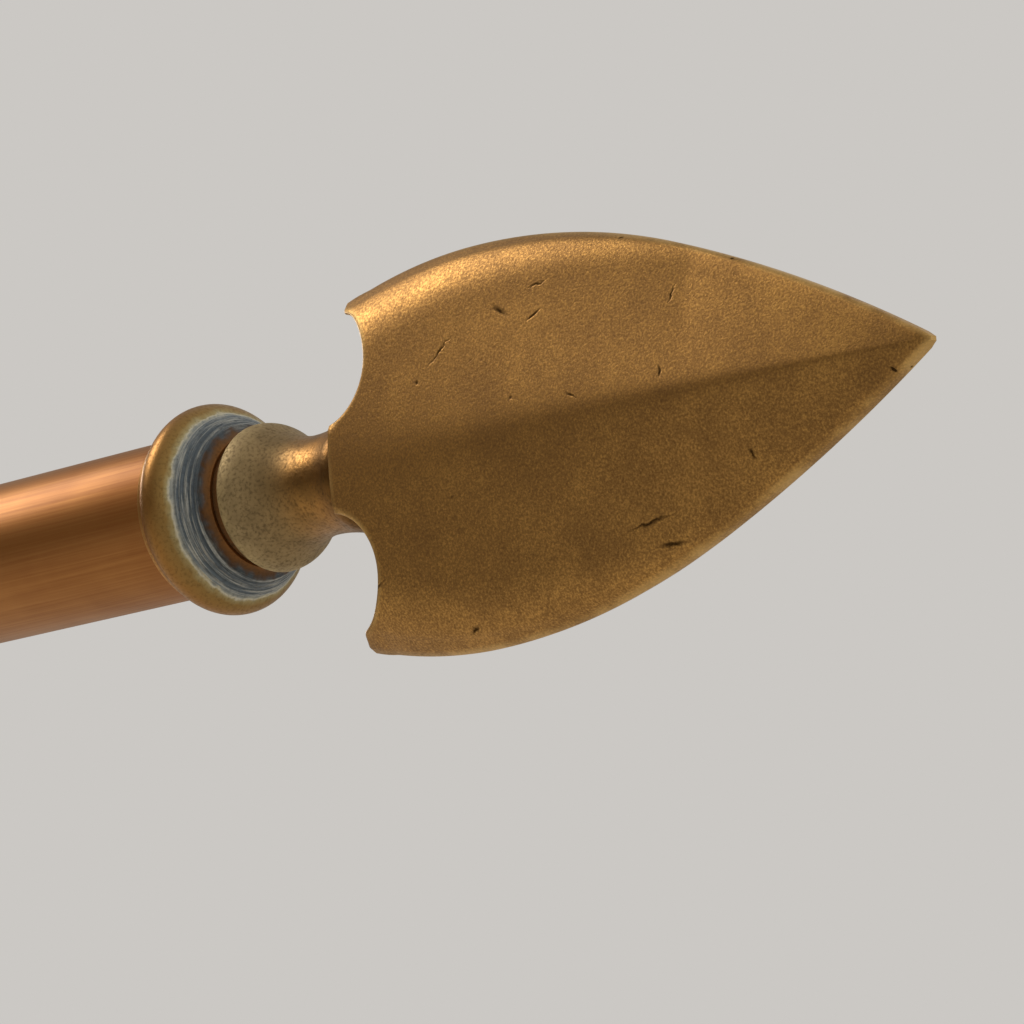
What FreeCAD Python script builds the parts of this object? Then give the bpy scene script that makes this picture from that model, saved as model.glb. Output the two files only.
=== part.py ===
import FreeCAD, Part
import math
import os
import re
import Sketcher

# Curtain pole with a cast spearhead finial at each end, carried by two turned wall brackets.
# Millimetres. X runs along the pole, Y points into the wall and Z is up. The origin lies on the
# wall, midway between the brackets and level with the pole.

SIZES = {
    "pole_length": 800.0,
    "pole_diameter": 25.0,
    "pole_wall": 1.2,
    "bracket_spacing": 420.0,
    "wall_projection": 85.0,         # wall to the pole's centre line
    "turning_gap": 0.35,             # radial, between round faces that move past each other
    "thread_gap": 0.05,              # radial, between a screw and its tapped hole
    "seat_gap": 0.02,                # between parts driven or screwed up tight
    "tool_overrun": 1.0,             # how far a cut runs past the metal

    "stud_diameter": 8.0,
    "stud_chamfer": 0.8,
    "stud_depth_in_plug": 12.5,
    "stud_depth_in_neck": 12.0,
    "plug_length": 20.0,
    "plug_chamfer": 0.6,
    "washer_ring_width": 2.9,
    "washer_thickness": 2.0,
    "washer_slit": 1.2,

    "collar_wall": 1.75,             # beside the pole, behind the bead
    "collar_lip": 0.9,               # plain ring behind the bead
    "bead_length": 6.2,
    "bead_height": 1.85,
    "grooved_cone_length": 3.7,
    "grooved_cone_drop": 2.5,        # radius lost along the cone
    "cavetto_length": 1.0,
    "cavetto_hollow": 0.25,
    "socket_depth": 3.0,             # how far the pole's end enters the collar
    "groove_start": 0.5,             # cone's large end to the first groove
    "groove_pitch": 1.0,
    "groove_half_width": 0.3,
    "groove_depth": 0.35,

    "stem_diameter": 20.0,
    "stem_length": 0.9,
    "cup_back_length": 1.3,
    "cup_back_hollow": 0.2,
    "cup_back_diameter": 22.0,
    "cup_lip_length": 1.2,
    "cup_lip_round": 0.16,
    "cup_diameter": 23.0,
    "shoulder_length": 3.6,
    "shoulder_round": 0.29,
    "shoulder_diameter": 20.3,
    "waist_length": 7.8,
    "waist_hollow": 0.62,
    "waist_diameter": 15.4,
    "flare_length": 8.0,
    "flare_hollow": 0.25,
    "neck_end_diameter": 17.4,
    "neck_end_length": 1.6,
    "spigot_diameter": 10.0,
    "spigot_length": 9.0,

    "blade_length": 108.9,           # neck's end to the point
    "blade_width": 60.0,
    "widest_station": 22.7,          # stations run from the neck's end
    "crest_rear_thickness": 18.6,
    "crest_tip_thickness": 2.2,
    "crest_fall": 2.2,               # power of the fall of the crest towards the point
    "edge_thickness": 2.2,
    "casting_margin": 1.0,           # metal outside the outline before it is trimmed
    "lobe_station": 5.8,
    "lobe_rise": 5.1,                # lobe's half width beyond the neck's end
    "lobe_round": 0.19,
    "notch_hollow": 3.1,
    "barb_reach": 1.4,               # how far the barbs stand behind the neck's end
    "barb_inset": 5.1,               # insets run inwards from the widest half width
    "barb_face": 1.0,
    "cheek_station": 2.6,
    "cheek_inset": 2.4,
    "cheek_round": 0.2,
    "side_round": 0.51,
    "flank_station": 61.8,
    "flank_inset": 6.7,
    "flank_round": 1.69,
    "point_round": 1.29,
    "point_half_width": 0.5,
    "point_nose": 0.27,

    "ring_width": 14.0,
    "ring_wall": 4.0,
    "ring_crown": 2.25,
    "ring_seat_thickness": 2.3,      # metal left between the pole's bore and a boss hole
    "arm_boss_diameter": 13.0,
    "arm_boss_height": 3.65,
    "clamp_boss_diameter": 10.5,
    "clamp_boss_height": 4.65,
    "arm_spigot_diameter": 6.0,
    "arm_end_diameter": 12.4,
    "arm_end_length": 2.0,
    "arm_bead_length": 4.5,
    "arm_bead_round": 1.0,
    "arm_waist_diameter": 10.0,
    "arm_sweep_hollow": 0.73,
    "arm_foot_neck_diameter": 12.6,
    "arm_foot_step": 2.0,
    "arm_foot_length": 5.0,
    "arm_foot_round": 0.75,
    "arm_foot_diameter": 18.0,
    "arm_foot_rim": 2.0,
    "arm_bore_depth": 14.0,
    "plate_diameter": 44.0,
    "plate_thickness": 3.0,
    "plate_boss_diameter": 16.0,
    "wall_screw_spacing": 28.0,
    "wall_screw_hole": 4.5,
    "wall_screw_sink": 9.0,
    "rose_overhang": 6.0,            # rose beyond the wall plate, all round
    "rose_height": 12.0,
    "rose_wall": 1.6,
    "rose_rim_step": 2.5,
    "rose_rim_slope": 1.5,
    "rose_top_diameter": 21.0,
    "rose_hollow": 1.9,
    "clamp_screw_diameter": 5.0,
    "clamp_pad_thickness": 1.6,
    "clamp_pad_stem_diameter": 1.5,
    "clamp_pad_stem_length": 2.0,
    "clamp_gap": 0.1,                # pad to the pole's underside
    "clamp_travel": 3.0,             # room left under the boss for the screw's head
    "clamp_neck_diameter": 7.0,
    "clamp_neck_length": 1.6,
    "clamp_head_diameter": 13.0,
    "clamp_head_length": 7.0,
    "clamp_head_round": 0.71,
}

SECTION_SHARES = (0.0, 0.13, 0.27, 0.42, 0.56, 0.69, 0.80, 0.90, 0.96, 1.0)
GROOVE_COUNT = 3
SIDES = {"right": 1, "left": -1}

doc = FreeCAD.newDocument("CurtainPole")
sheet = doc.addObject("Spreadsheet::Sheet", "Sizes")
for row, (alias, size) in enumerate(SIZES.items(), start=1):
    sheet.set(f"A{row}", alias)
    sheet.set(f"B{row}", str(size))
    sheet.setAlias(f"B{row}", alias)
doc.recompute()


def bound(expression):
    """The expression with each size's name pointing at its cell of the sheet."""
    return re.sub(r"[a-z]\w*", lambda word: cell_name(word.group()), expression)


def cell_name(word):
    return f"Sizes.{word}" if word in SIZES else word


def number(holder, expression):
    return float(holder.evalExpression(bound(expression)))


def add_body(label, x="0", y="0", z="0", turned_round=False):
    """A body placed from the sheet; turned_round faces it the other way along the pole."""
    body = doc.addObject("PartDesign::Body", label)
    body.Label = label
    turn = 180.0 if turned_round else 0.0
    body.Placement = FreeCAD.Placement(FreeCAD.Vector(), FreeCAD.Rotation(FreeCAD.Vector(0, 0, 1), turn))
    for axis, expression in (("x", x), ("y", y), ("z", z)):
        body.setExpression(f"Placement.Base.{axis}", bound(expression))
    return body


def add_sketch(body, name, plane, offset=None):
    """A sketch on one of the body's own origin planes, moved along the plane's normal by offset."""
    sketch = body.newObject("Sketcher::SketchObject", f"{body.Name}_{name}")
    support = next(item for item in body.Origin.OriginFeatures if item.Role == plane)
    sketch.AttachmentSupport = [(support, "")]
    sketch.MapMode = "FlatFace"
    if offset:
        sketch.setExpression("AttachmentOffset.Base.z", bound(offset))
    return sketch


def hold_point(sketch, geometry, point, x, y):
    """Tie one end of an edge to the sketch's origin by two sizes from the sheet."""
    for kind, expression in (("DistanceX", x), ("DistanceY", y)):
        start = number(sketch, expression)
        index = sketch.addConstraint(Sketcher.Constraint(kind, -1, 1, geometry, point, start))
        sketch.setExpression(f"Constraints[{index}]", bound(expression))


def bend_between(start, end, radius, side):
    """The arc from start to end that bulges to the left or right of the way from one to the other."""
    chord = end - start
    bulge = 1.0 if side == "left" else -1.0
    across = FreeCAD.Vector(-chord.y, chord.x, 0) * (bulge / chord.Length)
    centre = (start + end) * 0.5 - across * math.sqrt(radius ** 2 - (chord.Length / 2) ** 2)
    first, last = (end, start) if side == "left" else (start, end)
    angles = [math.atan2(point.y - centre.y, point.x - centre.x) for point in (first, last)]
    if angles[1] < angles[0]:
        angles[1] += 2 * math.pi
    circle = Part.Circle(centre, FreeCAD.Vector(0, 0, 1), radius)
    return Part.ArcOfCircle(circle, angles[0], angles[1])


def bend_radius(corner, following):
    """The radius of an arc from its two ends and its depth, as an expression."""
    run = f"(({following[0]}) - ({corner[0]}))"
    rise = f"(({following[1]}) - ({corner[1]}))"
    return f"(({run} ^ 2 + {rise} ^ 2) / 4 + {corner[2]} ^ 2) / (2 * {corner[2]})"


def draw_outline(sketch, corners):
    """Draw a closed outline. A corner is (x, y), or (x, y, depth, side) where an arc leaves it."""
    places = [FreeCAD.Vector(number(sketch, corner[0]), number(sketch, corner[1]), 0) for corner in corners]
    runs = []
    for index, corner in enumerate(corners):
        following = (index + 1) % len(corners)
        start, end = places[index], places[following]
        if len(corner) == 2:
            runs.append((sketch.addGeometry(Part.LineSegment(start, end)), 1, 2))
            continue
        radius = bend_radius(corner, corners[following])
        arc = sketch.addGeometry(bend_between(start, end, number(sketch, radius), corner[3]))
        constraint = sketch.addConstraint(Sketcher.Constraint("Radius", arc, number(sketch, radius)))
        sketch.setExpression(f"Constraints[{constraint}]", bound(radius))
        runs.append((arc, 2, 1) if corner[3] == "left" else (arc, 1, 2))
    for corner, run, following in zip(corners, runs, runs[1:] + runs[:1]):
        sketch.addConstraint(Sketcher.Constraint("Coincident", run[0], run[2], following[0], following[1]))
        hold_point(sketch, run[0], run[1], corner[0], corner[1])


def draw_circle(sketch, radius, x="0", y="0"):
    centre = FreeCAD.Vector(number(sketch, x), number(sketch, y), 0)
    circle = Part.Circle(centre, FreeCAD.Vector(0, 0, 1), number(sketch, radius))
    geometry = sketch.addGeometry(circle)
    index = sketch.addConstraint(Sketcher.Constraint("Radius", geometry, number(sketch, radius)))
    sketch.setExpression(f"Constraints[{index}]", bound(radius))
    hold_point(sketch, geometry, 3, x, y)


def turn_outline(body, name, plane, axis, corners, kind="Revolution"):
    """Turn a closed outline about one of its sketch's axes, as added metal or as a groove."""
    sketch = add_sketch(body, f"{name}_outline", plane)
    draw_outline(sketch, corners)
    feature = body.newObject(f"PartDesign::{kind}", f"{body.Name}_{name}")
    feature.Profile = sketch
    feature.ReferenceAxis = (sketch, [axis])
    feature.Angle = 360
    return feature


def pad_sketch(body, name, sketch, length, symmetric=False):
    pad = body.newObject("PartDesign::Pad", f"{body.Name}_{name}")
    pad.Profile = sketch
    pad.SideType = "Symmetric" if symmetric else "One side"
    pad.setExpression("Length", bound(length))
    return pad


def pocket_through(body, name, sketch):
    pocket = body.newObject("PartDesign::Pocket", f"{body.Name}_{name}")
    pocket.Profile = sketch
    pocket.SideType = "Symmetric"
    pocket.Type = "ThroughAll"
    return pocket


def circular_edges(feature, radius):
    """Names of the feature's round edges of one radius."""
    names = []
    for index, edge in enumerate(feature.Shape.Edges, start=1):
        if isinstance(edge.Curve, Part.Circle) and math.isclose(edge.Curve.Radius, radius, abs_tol=1e-6):
            names.append(f"Edge{index}")
    return names


def chamfer_round_edges(body, feature, radius, size):
    doc.recompute()
    chamfer = body.newObject("PartDesign::Chamfer", f"{body.Name}_chamfer")
    chamfer.Base = (feature, circular_edges(feature, number(body, radius)))
    chamfer.setExpression("Size", bound(size))
    return chamfer


# Pole

def make_pole_tube():
    body = add_body("pole_tube", y="-wall_projection")
    sketch = add_sketch(body, "section", "YZ_Plane")
    draw_circle(sketch, "pole_diameter / 2")
    draw_circle(sketch, "pole_diameter / 2 - pole_wall")
    pad_sketch(body, "length", sketch, "pole_length", symmetric=True)
    return body


def add_finial_body(side, piece):
    """A body whose own X runs outwards from the collar's back face along the pole's centre line."""
    station = "pole_length / 2 - socket_depth"
    x = station if SIDES[side] > 0 else f"-({station})"
    return add_body(f"{side}_{piece}", x=x, y="-wall_projection", turned_round=SIDES[side] < 0)


def make_end_plug(side):
    """Steel plug driven into the tube's end, tapped through for the finial's stud."""
    body = add_finial_body(side, "end_plug")
    sketch = add_sketch(body, "section", "YZ_Plane", "socket_depth - plug_length")
    radius = "pole_diameter / 2 - pole_wall - seat_gap"
    draw_circle(sketch, radius)
    draw_circle(sketch, "stud_diameter / 2")
    pad = pad_sketch(body, "length", sketch, "plug_length")
    chamfer_round_edges(body, pad, radius, "plug_chamfer")
    return body


# Finial

COLLAR_SHOULDER = "(pole_diameter / 2 + turning_gap + collar_wall)"
CONE_START = "(collar_lip + bead_length)"
NECK_SEAT = f"({CONE_START} + grooved_cone_length + cavetto_length)"
CUP_LIP = f"({NECK_SEAT} + stem_length + cup_back_length)"
CUP_PEAK = f"({CUP_LIP} + cup_lip_length)"
SHOULDER = f"({CUP_PEAK} + shoulder_length)"
WAIST = f"({SHOULDER} + waist_length)"
NECK_END = f"({WAIST} + flare_length + neck_end_length)"
WASHER_BORE = "(stud_diameter / 2 - thread_gap + turning_gap)"
WASHER_RADIUS = f"({WASHER_BORE} + washer_ring_width)"
BLADE_REAR = f"({NECK_END} - barb_reach)"


def make_stud(side):
    body = add_finial_body(side, "stud")
    radius = "(stud_diameter / 2 - thread_gap)"
    back = "(socket_depth - stud_depth_in_plug)"
    front = f"({NECK_SEAT} + stud_depth_in_neck)"
    turn_outline(body, "shank", "XY_Plane", "H_Axis", [
        (back, "0"),
        (back, f"{radius} - stud_chamfer"),
        (f"{back} + stud_chamfer", radius),
        (f"{front} - stud_chamfer", radius),
        (front, f"{radius} - stud_chamfer"),
        (front, "0"),
    ])
    return body


def make_spring_washer(side):
    """Split spring washer between the plug and the floor of the collar's recess."""
    body = add_finial_body(side, "spring_washer")
    sketch = add_sketch(body, "section", "YZ_Plane", "socket_depth")
    draw_circle(sketch, WASHER_RADIUS)
    draw_circle(sketch, WASHER_BORE)
    pad_sketch(body, "coil", sketch, "washer_thickness")
    slit = add_sketch(body, "slit_outline", "YZ_Plane", "socket_depth")
    draw_outline(slit, [
        ("-washer_slit / 2", "stud_diameter / 4"),
        ("washer_slit / 2", "stud_diameter / 4"),
        ("washer_slit / 2", f"{WASHER_RADIUS} + tool_overrun"),
        ("-washer_slit / 2", f"{WASHER_RADIUS} + tool_overrun"),
    ])
    pocket_through(body, "slit", slit)
    return body


def make_collar(side):
    """Turned collar: beaded rim, grooved cone, and a socket that hides the pole's cut end."""
    body = add_finial_body(side, "collar")
    cone_end = f"({COLLAR_SHOULDER} - grooved_cone_drop)"
    turn_outline(body, "blank", "XY_Plane", "H_Axis", [
        ("0", "pole_diameter / 2 + turning_gap"),
        ("0", COLLAR_SHOULDER),
        ("collar_lip", COLLAR_SHOULDER, "bead_height", "left"),
        (CONE_START, COLLAR_SHOULDER),
        (f"{CONE_START} + grooved_cone_length", cone_end, "cavetto_hollow", "right"),
        (NECK_SEAT, "stem_diameter / 2 + turning_gap"),
        (NECK_SEAT, "stud_diameter / 2"),
        ("socket_depth + washer_thickness", "stud_diameter / 2"),
        ("socket_depth + washer_thickness", f"{WASHER_RADIUS} + turning_gap"),
        ("socket_depth", f"{WASHER_RADIUS} + turning_gap"),
        ("socket_depth", "pole_diameter / 2 + turning_gap"),
    ])
    for line in range(GROOVE_COUNT):
        reach = f"(groove_start + {line} * groove_pitch)"
        station = f"({CONE_START} + {reach})"
        surface = f"({COLLAR_SHOULDER} - grooved_cone_drop / grooved_cone_length * {reach})"
        turn_outline(body, f"line_{line + 1}", "XY_Plane", "H_Axis", [
            (station, f"{surface} - groove_depth"),
            (f"{station} - groove_half_width", f"{surface} + groove_depth"),
            (f"{station} + groove_half_width", f"{surface} + groove_depth"),
        ], kind="Groove")
    return body


def make_neck(side):
    """Turned neck: a short stem, a cup that flares to a rounded lip, and a waist up to the blade."""
    body = add_finial_body(side, "neck")
    hole_end = f"({NECK_SEAT} + stud_depth_in_neck + stud_chamfer)"
    turn_outline(body, "profile", "XY_Plane", "H_Axis", [
        (NECK_SEAT, "stud_diameter / 2"),
        (NECK_SEAT, "stem_diameter / 2"),
        (f"{NECK_SEAT} + stem_length", "stem_diameter / 2", "cup_back_hollow", "right"),
        (CUP_LIP, "cup_back_diameter / 2", "cup_lip_round", "left"),
        (CUP_PEAK, "cup_diameter / 2", "shoulder_round", "left"),
        (SHOULDER, "shoulder_diameter / 2", "waist_hollow", "right"),
        (WAIST, "waist_diameter / 2", "flare_hollow", "right"),
        (f"{WAIST} + flare_length", "neck_end_diameter / 2"),
        (NECK_END, "neck_end_diameter / 2"),
        (NECK_END, "spigot_diameter / 2"),
        (f"{NECK_END} + spigot_length", "spigot_diameter / 2"),
        (f"{NECK_END} + spigot_length", "0"),
        (hole_end, "0"),
        (hole_end, "stud_diameter / 2"),
    ])
    return body


def upper_blade_edge():
    """Corners of the blade's outline above its crest, from the neck round the barb to the point."""
    half = "blade_width / 2"
    return [
        (NECK_END, "neck_end_diameter / 2", "lobe_round", "left"),
        (f"{NECK_END} + lobe_station", "neck_end_diameter / 2 + lobe_rise", "notch_hollow", "right"),
        (f"{NECK_END} - barb_reach", f"{half} - barb_inset"),
        (f"{NECK_END} - barb_reach", f"{half} - barb_inset + barb_face", "cheek_round", "left"),
        (f"{NECK_END} + cheek_station", f"{half} - cheek_inset", "side_round", "left"),
        (f"{NECK_END} + widest_station", half, "flank_round", "left"),
        (f"{NECK_END} + flank_station", f"{half} - flank_inset", "point_round", "left"),
        (f"{NECK_END} + blade_length", "point_half_width"),
    ]


def mirrored_edge(corners):
    """The same corners below the crest, in the opposite order, each bend moved to its new first corner."""
    below = []
    for index in range(len(corners) - 1, -1, -1):
        bend = corners[index - 1][2:] if index else ()
        below.append((corners[index][0], f"-({corners[index][1]})", *bend))
    return below


def add_blade_section(body, index, station):
    """A six-cornered section across the blade: its crest on both faces and its two thin edges."""
    reach = f"max(0; {station} - ({NECK_END} + widest_station))"
    run = "(blade_length - widest_station)"
    radius = f"((({run}) ^ 2 + (blade_width / 2) ^ 2) / blade_width)"
    fall_in = f"({radius} - sqrt(({radius}) ^ 2 - ({reach}) ^ 2))"
    half_width = f"(blade_width / 2 + casting_margin - {fall_in})"
    share = f"(({station} - {BLADE_REAR}) / (blade_length + barb_reach))"
    fall = f"(1 - abs({share}) ^ crest_fall)"
    crest = f"(crest_tip_thickness + (crest_rear_thickness - crest_tip_thickness) * {fall}) / 2"
    sketch = add_sketch(body, f"section_{index}", "YZ_Plane", station)
    draw_outline(sketch, [
        (crest, "0"),
        ("edge_thickness / 2", half_width),
        ("-edge_thickness / 2", half_width),
        (f"-({crest})", "0"),
        ("-edge_thickness / 2", f"-({half_width})"),
        ("edge_thickness / 2", f"-({half_width})"),
    ])
    return sketch


def make_blade(side):
    """Spearhead: four facets lofted from section to section, trimmed to its outline, bored for the neck."""
    body = add_finial_body(side, "blade")
    sections = []
    for index, share in enumerate(SECTION_SHARES, start=1):
        station = f"({BLADE_REAR} + {share} * (blade_length + barb_reach))"
        sections.append(add_blade_section(body, index, station))
    loft = body.newObject("PartDesign::AdditiveLoft", f"{body.Name}_facets")
    loft.Profile = sections[0]
    loft.Sections = sections[1:]
    loft.Ruled = True

    trim = add_sketch(body, "trim_outline", "XZ_Plane")
    draw_outline(trim, [
        (f"{BLADE_REAR} - tool_overrun", "-blade_width"),
        (f"{NECK_END} + blade_length + tool_overrun", "-blade_width"),
        (f"{NECK_END} + blade_length + tool_overrun", "blade_width"),
        (f"{BLADE_REAR} - tool_overrun", "blade_width"),
    ])
    above = upper_blade_edge()
    point = (*above[-1], "point_nose", "left")
    draw_outline(trim, above[:-1] + [point] + mirrored_edge(above))
    pocket_through(body, "trim", trim)

    turn_outline(body, "spigot_bore", "XY_Plane", "H_Axis", [
        (f"{BLADE_REAR}", "0"),
        (f"{BLADE_REAR}", "spigot_diameter / 2 + seat_gap"),
        (f"{NECK_END} + spigot_length + seat_gap", "spigot_diameter / 2 + seat_gap"),
        (f"{NECK_END} + spigot_length + seat_gap", "0"),
    ], kind="Groove")
    return body


# Bracket

RING_BORE = "(pole_diameter / 2 + turning_gap)"
RING_SEAT = f"({RING_BORE} + ring_seat_thickness)"
ARM_START = f"({RING_BORE} + ring_wall + arm_boss_height)"
CLAMP_BOSS_END = f"({RING_BORE} + ring_wall + clamp_boss_height)"
ROSE_TOP = "(wall_projection - rose_height)"
PAD_TOP = "(pole_diameter / 2 + clamp_gap)"
PAD_BASE = f"({PAD_TOP} + clamp_pad_thickness)"


def add_bracket_body(side, piece):
    """A body whose origin is on the pole's centre line, midway along the bracket's ring."""
    x = "bracket_spacing / 2" if SIDES[side] > 0 else "-bracket_spacing / 2"
    return add_body(f"{side}_{piece}", x=x, y="-wall_projection")


def make_pole_ring(side):
    """Ring that the pole slides through, with one boss for the arm and one for the clamp screw."""
    body = add_bracket_body(side, "pole_ring")
    turn_outline(body, "ring", "XY_Plane", "H_Axis", [
        ("-ring_width / 2", RING_BORE),
        ("-ring_width / 2", f"{RING_BORE} + ring_wall", "ring_crown", "left"),
        ("ring_width / 2", f"{RING_BORE} + ring_wall"),
        ("ring_width / 2", RING_BORE),
    ])
    turn_outline(body, "arm_boss", "XY_Plane", "V_Axis", [
        ("0", RING_SEAT),
        ("arm_boss_diameter / 2", RING_SEAT),
        ("arm_boss_diameter / 2", ARM_START),
        ("0", ARM_START),
    ])
    turn_outline(body, "clamp_boss", "XZ_Plane", "V_Axis", [
        ("0", f"-{RING_SEAT}"),
        ("clamp_boss_diameter / 2", f"-{RING_SEAT}"),
        ("clamp_boss_diameter / 2", f"-{CLAMP_BOSS_END}"),
        ("0", f"-{CLAMP_BOSS_END}"),
    ])
    turn_outline(body, "arm_hole", "XY_Plane", "V_Axis", [
        ("0", RING_SEAT),
        ("arm_spigot_diameter / 2", RING_SEAT),
        ("arm_spigot_diameter / 2", f"{ARM_START} + tool_overrun"),
        ("0", f"{ARM_START} + tool_overrun"),
    ], kind="Groove")
    turn_outline(body, "clamp_hole", "XZ_Plane", "V_Axis", [
        ("0", f"-({RING_BORE} - tool_overrun)"),
        ("clamp_screw_diameter / 2", f"-({RING_BORE} - tool_overrun)"),
        ("clamp_screw_diameter / 2", f"-({CLAMP_BOSS_END} + tool_overrun)"),
        ("0", f"-({CLAMP_BOSS_END} + tool_overrun)"),
    ], kind="Groove")
    return body


def make_arm(side):
    """Turned arm: spigot and bead at the ring, a slim waist, and a foot on the rose."""
    body = add_bracket_body(side, "arm")
    bead = f"({ARM_START} + arm_end_length)"
    foot = f"({ROSE_TOP} - arm_foot_rim - arm_foot_length)"
    turn_outline(body, "profile", "YZ_Plane", "H_Axis", [
        (RING_SEAT, "0"),
        (RING_SEAT, "arm_spigot_diameter / 2 - seat_gap"),
        (ARM_START, "arm_spigot_diameter / 2 - seat_gap"),
        (ARM_START, "arm_end_diameter / 2"),
        (bead, "arm_end_diameter / 2", "arm_bead_round", "left"),
        (f"{bead} + arm_bead_length", "arm_waist_diameter / 2", "arm_sweep_hollow", "right"),
        (foot, "arm_foot_neck_diameter / 2"),
        (foot, "arm_foot_neck_diameter / 2 + arm_foot_step", "arm_foot_round", "left"),
        (f"{foot} + arm_foot_length", "arm_foot_diameter / 2"),
        (ROSE_TOP, "arm_foot_diameter / 2"),
        (ROSE_TOP, "stud_diameter / 2"),
        (f"{ROSE_TOP} - arm_bore_depth", "stud_diameter / 2"),
        (f"{ROSE_TOP} - arm_bore_depth", "0"),
    ])
    return body


def make_arm_stud(side):
    """Stud that draws the arm and the rose up to the wall plate."""
    body = add_bracket_body(side, "arm_stud")
    radius = "(stud_diameter / 2 - seat_gap)"
    room_end = f"({ROSE_TOP} - arm_bore_depth + stud_chamfer)"
    wall_end = "(wall_projection - stud_chamfer)"
    turn_outline(body, "shank", "YZ_Plane", "H_Axis", [
        (room_end, "0"),
        (room_end, f"{radius} - stud_chamfer"),
        (f"{room_end} + stud_chamfer", radius),
        (f"{wall_end} - stud_chamfer", radius),
        (wall_end, f"{radius} - stud_chamfer"),
        (wall_end, "0"),
    ])
    return body


def make_wall_plate(side):
    """Steel plate with a tapped boss and two countersunk holes for the wall screws."""
    body = add_bracket_body(side, "wall_plate")
    front = "(wall_projection - plate_thickness)"
    boss_top = f"({ROSE_TOP} + rose_wall)"
    turn_outline(body, "blank", "YZ_Plane", "H_Axis", [
        (boss_top, "stud_diameter / 2"),
        (boss_top, "plate_boss_diameter / 2"),
        (front, "plate_boss_diameter / 2"),
        (front, "plate_diameter / 2"),
        ("wall_projection", "plate_diameter / 2"),
        ("wall_projection", "stud_diameter / 2"),
    ])
    centres = add_sketch(body, "screw_centres", "XZ_Plane", f"-{front}")
    for height in ("wall_screw_spacing / 2", "-wall_screw_spacing / 2"):
        draw_circle(centres, "wall_screw_hole / 2", y=height)
    doc.recompute()
    hole = body.newObject("PartDesign::Hole", f"{body.Name}_screw_holes")
    hole.Profile = centres
    hole.DepthType = "ThroughAll"
    hole.HoleCutType = "Countersink"
    hole.HoleCutCustomValues = True
    hole.HoleCutCountersinkAngle = 90
    hole.setExpression("Diameter", bound("wall_screw_hole"))
    hole.setExpression("HoleCutDiameter", bound("wall_screw_sink"))
    return body


def make_rose(side):
    """Spun brass cover over the wall plate, held by the arm's foot."""
    body = add_bracket_body(side, "rose")
    rim_radius = "(plate_diameter / 2 + rose_overhang)"
    brow = f"({rim_radius} - rose_rim_step)"
    shoulder = "(wall_projection - plate_thickness - turning_gap - rose_wall)"
    turn_outline(body, "shell", "YZ_Plane", "H_Axis", [
        (ROSE_TOP, "stud_diameter / 2 + turning_gap"),
        (ROSE_TOP, "rose_top_diameter / 2", "rose_hollow", "right"),
        (shoulder, brow),
        (f"{shoulder} + rose_rim_slope", rim_radius),
        ("wall_projection", rim_radius),
        ("wall_projection", f"{brow} - rose_wall"),
        (f"{shoulder} + rose_wall", f"{brow} - rose_wall", "rose_hollow", "left"),
        (f"{ROSE_TOP} + rose_wall", "rose_top_diameter / 2 - rose_wall"),
        (f"{ROSE_TOP} + rose_wall", "stud_diameter / 2 + turning_gap"),
    ])
    return body


def make_clamp_pad(side):
    """Nylon pad that bears on the pole; its stem sits in the end of the clamp screw."""
    body = add_bracket_body(side, "clamp_pad")
    radius = "clamp_screw_diameter / 2 - thread_gap - turning_gap"
    turn_outline(body, "profile", "XZ_Plane", "V_Axis", [
        ("0", f"-{PAD_TOP}"),
        (radius, f"-{PAD_TOP}"),
        (radius, f"-{PAD_BASE}"),
        ("clamp_pad_stem_diameter / 2", f"-{PAD_BASE}"),
        ("clamp_pad_stem_diameter / 2", f"-({PAD_BASE} + clamp_pad_stem_length)"),
        ("0", f"-({PAD_BASE} + clamp_pad_stem_length)"),
    ])
    return body


def make_clamp_screw(side):
    """Thumbscrew under the ring, hollow at its tip for the pad's stem."""
    body = add_bracket_body(side, "clamp_screw")
    stem_radius = "clamp_pad_stem_diameter / 2 + thread_gap"
    shank_end = f"({CLAMP_BOSS_END} + clamp_travel)"
    head = f"({shank_end} + clamp_neck_length)"
    turn_outline(body, "profile", "XZ_Plane", "V_Axis", [
        (stem_radius, f"-{PAD_BASE}"),
        ("clamp_screw_diameter / 2 - thread_gap", f"-{PAD_BASE}"),
        ("clamp_screw_diameter / 2 - thread_gap", f"-{shank_end}"),
        ("clamp_neck_diameter / 2", f"-{shank_end}"),
        ("clamp_neck_diameter / 2", f"-{head}"),
        ("clamp_head_diameter / 2", f"-{head}"),
        ("clamp_head_diameter / 2", f"-({head} + clamp_head_length)", "clamp_head_round", "left"),
        ("0", f"-({head} + clamp_head_length + clamp_neck_length / 2)"),
        ("0", f"-({PAD_BASE} + clamp_pad_stem_length + seat_gap)"),
        (stem_radius, f"-({PAD_BASE} + clamp_pad_stem_length + seat_gap)"),
    ])
    return body


PIECES_PER_SIDE = (
    make_end_plug, make_stud, make_spring_washer, make_collar, make_neck, make_blade,
    make_wall_plate, make_rose, make_arm_stud, make_arm, make_pole_ring, make_clamp_pad, make_clamp_screw,
)

nodes = [make_pole_tube()]
for side in SIDES:
    for make_piece in PIECES_PER_SIDE:
        nodes.append(make_piece(side))
doc.recompute()

for item in doc.Objects:
    if "Invalid" in item.State or "Error" in item.State:
        raise RuntimeError(f"{item.Name} failed: {item.State}")
for node in nodes:
    if node.Shape.isNull() or not node.Shape.isValid() or len(node.Shape.Solids) != 1:
        raise RuntimeError(f"{node.Label} is not one valid solid")

os.makedirs("parts", exist_ok=True)
for node in nodes:
    node.Shape.exportStep(os.path.join("parts", f"{node.Label}.step"))
    print(f"{node.Label}: {node.Shape.Volume:.1f} mm3")
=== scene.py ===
import math

import bpy
import numpy as np
from mathutils import Matrix, Vector


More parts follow.
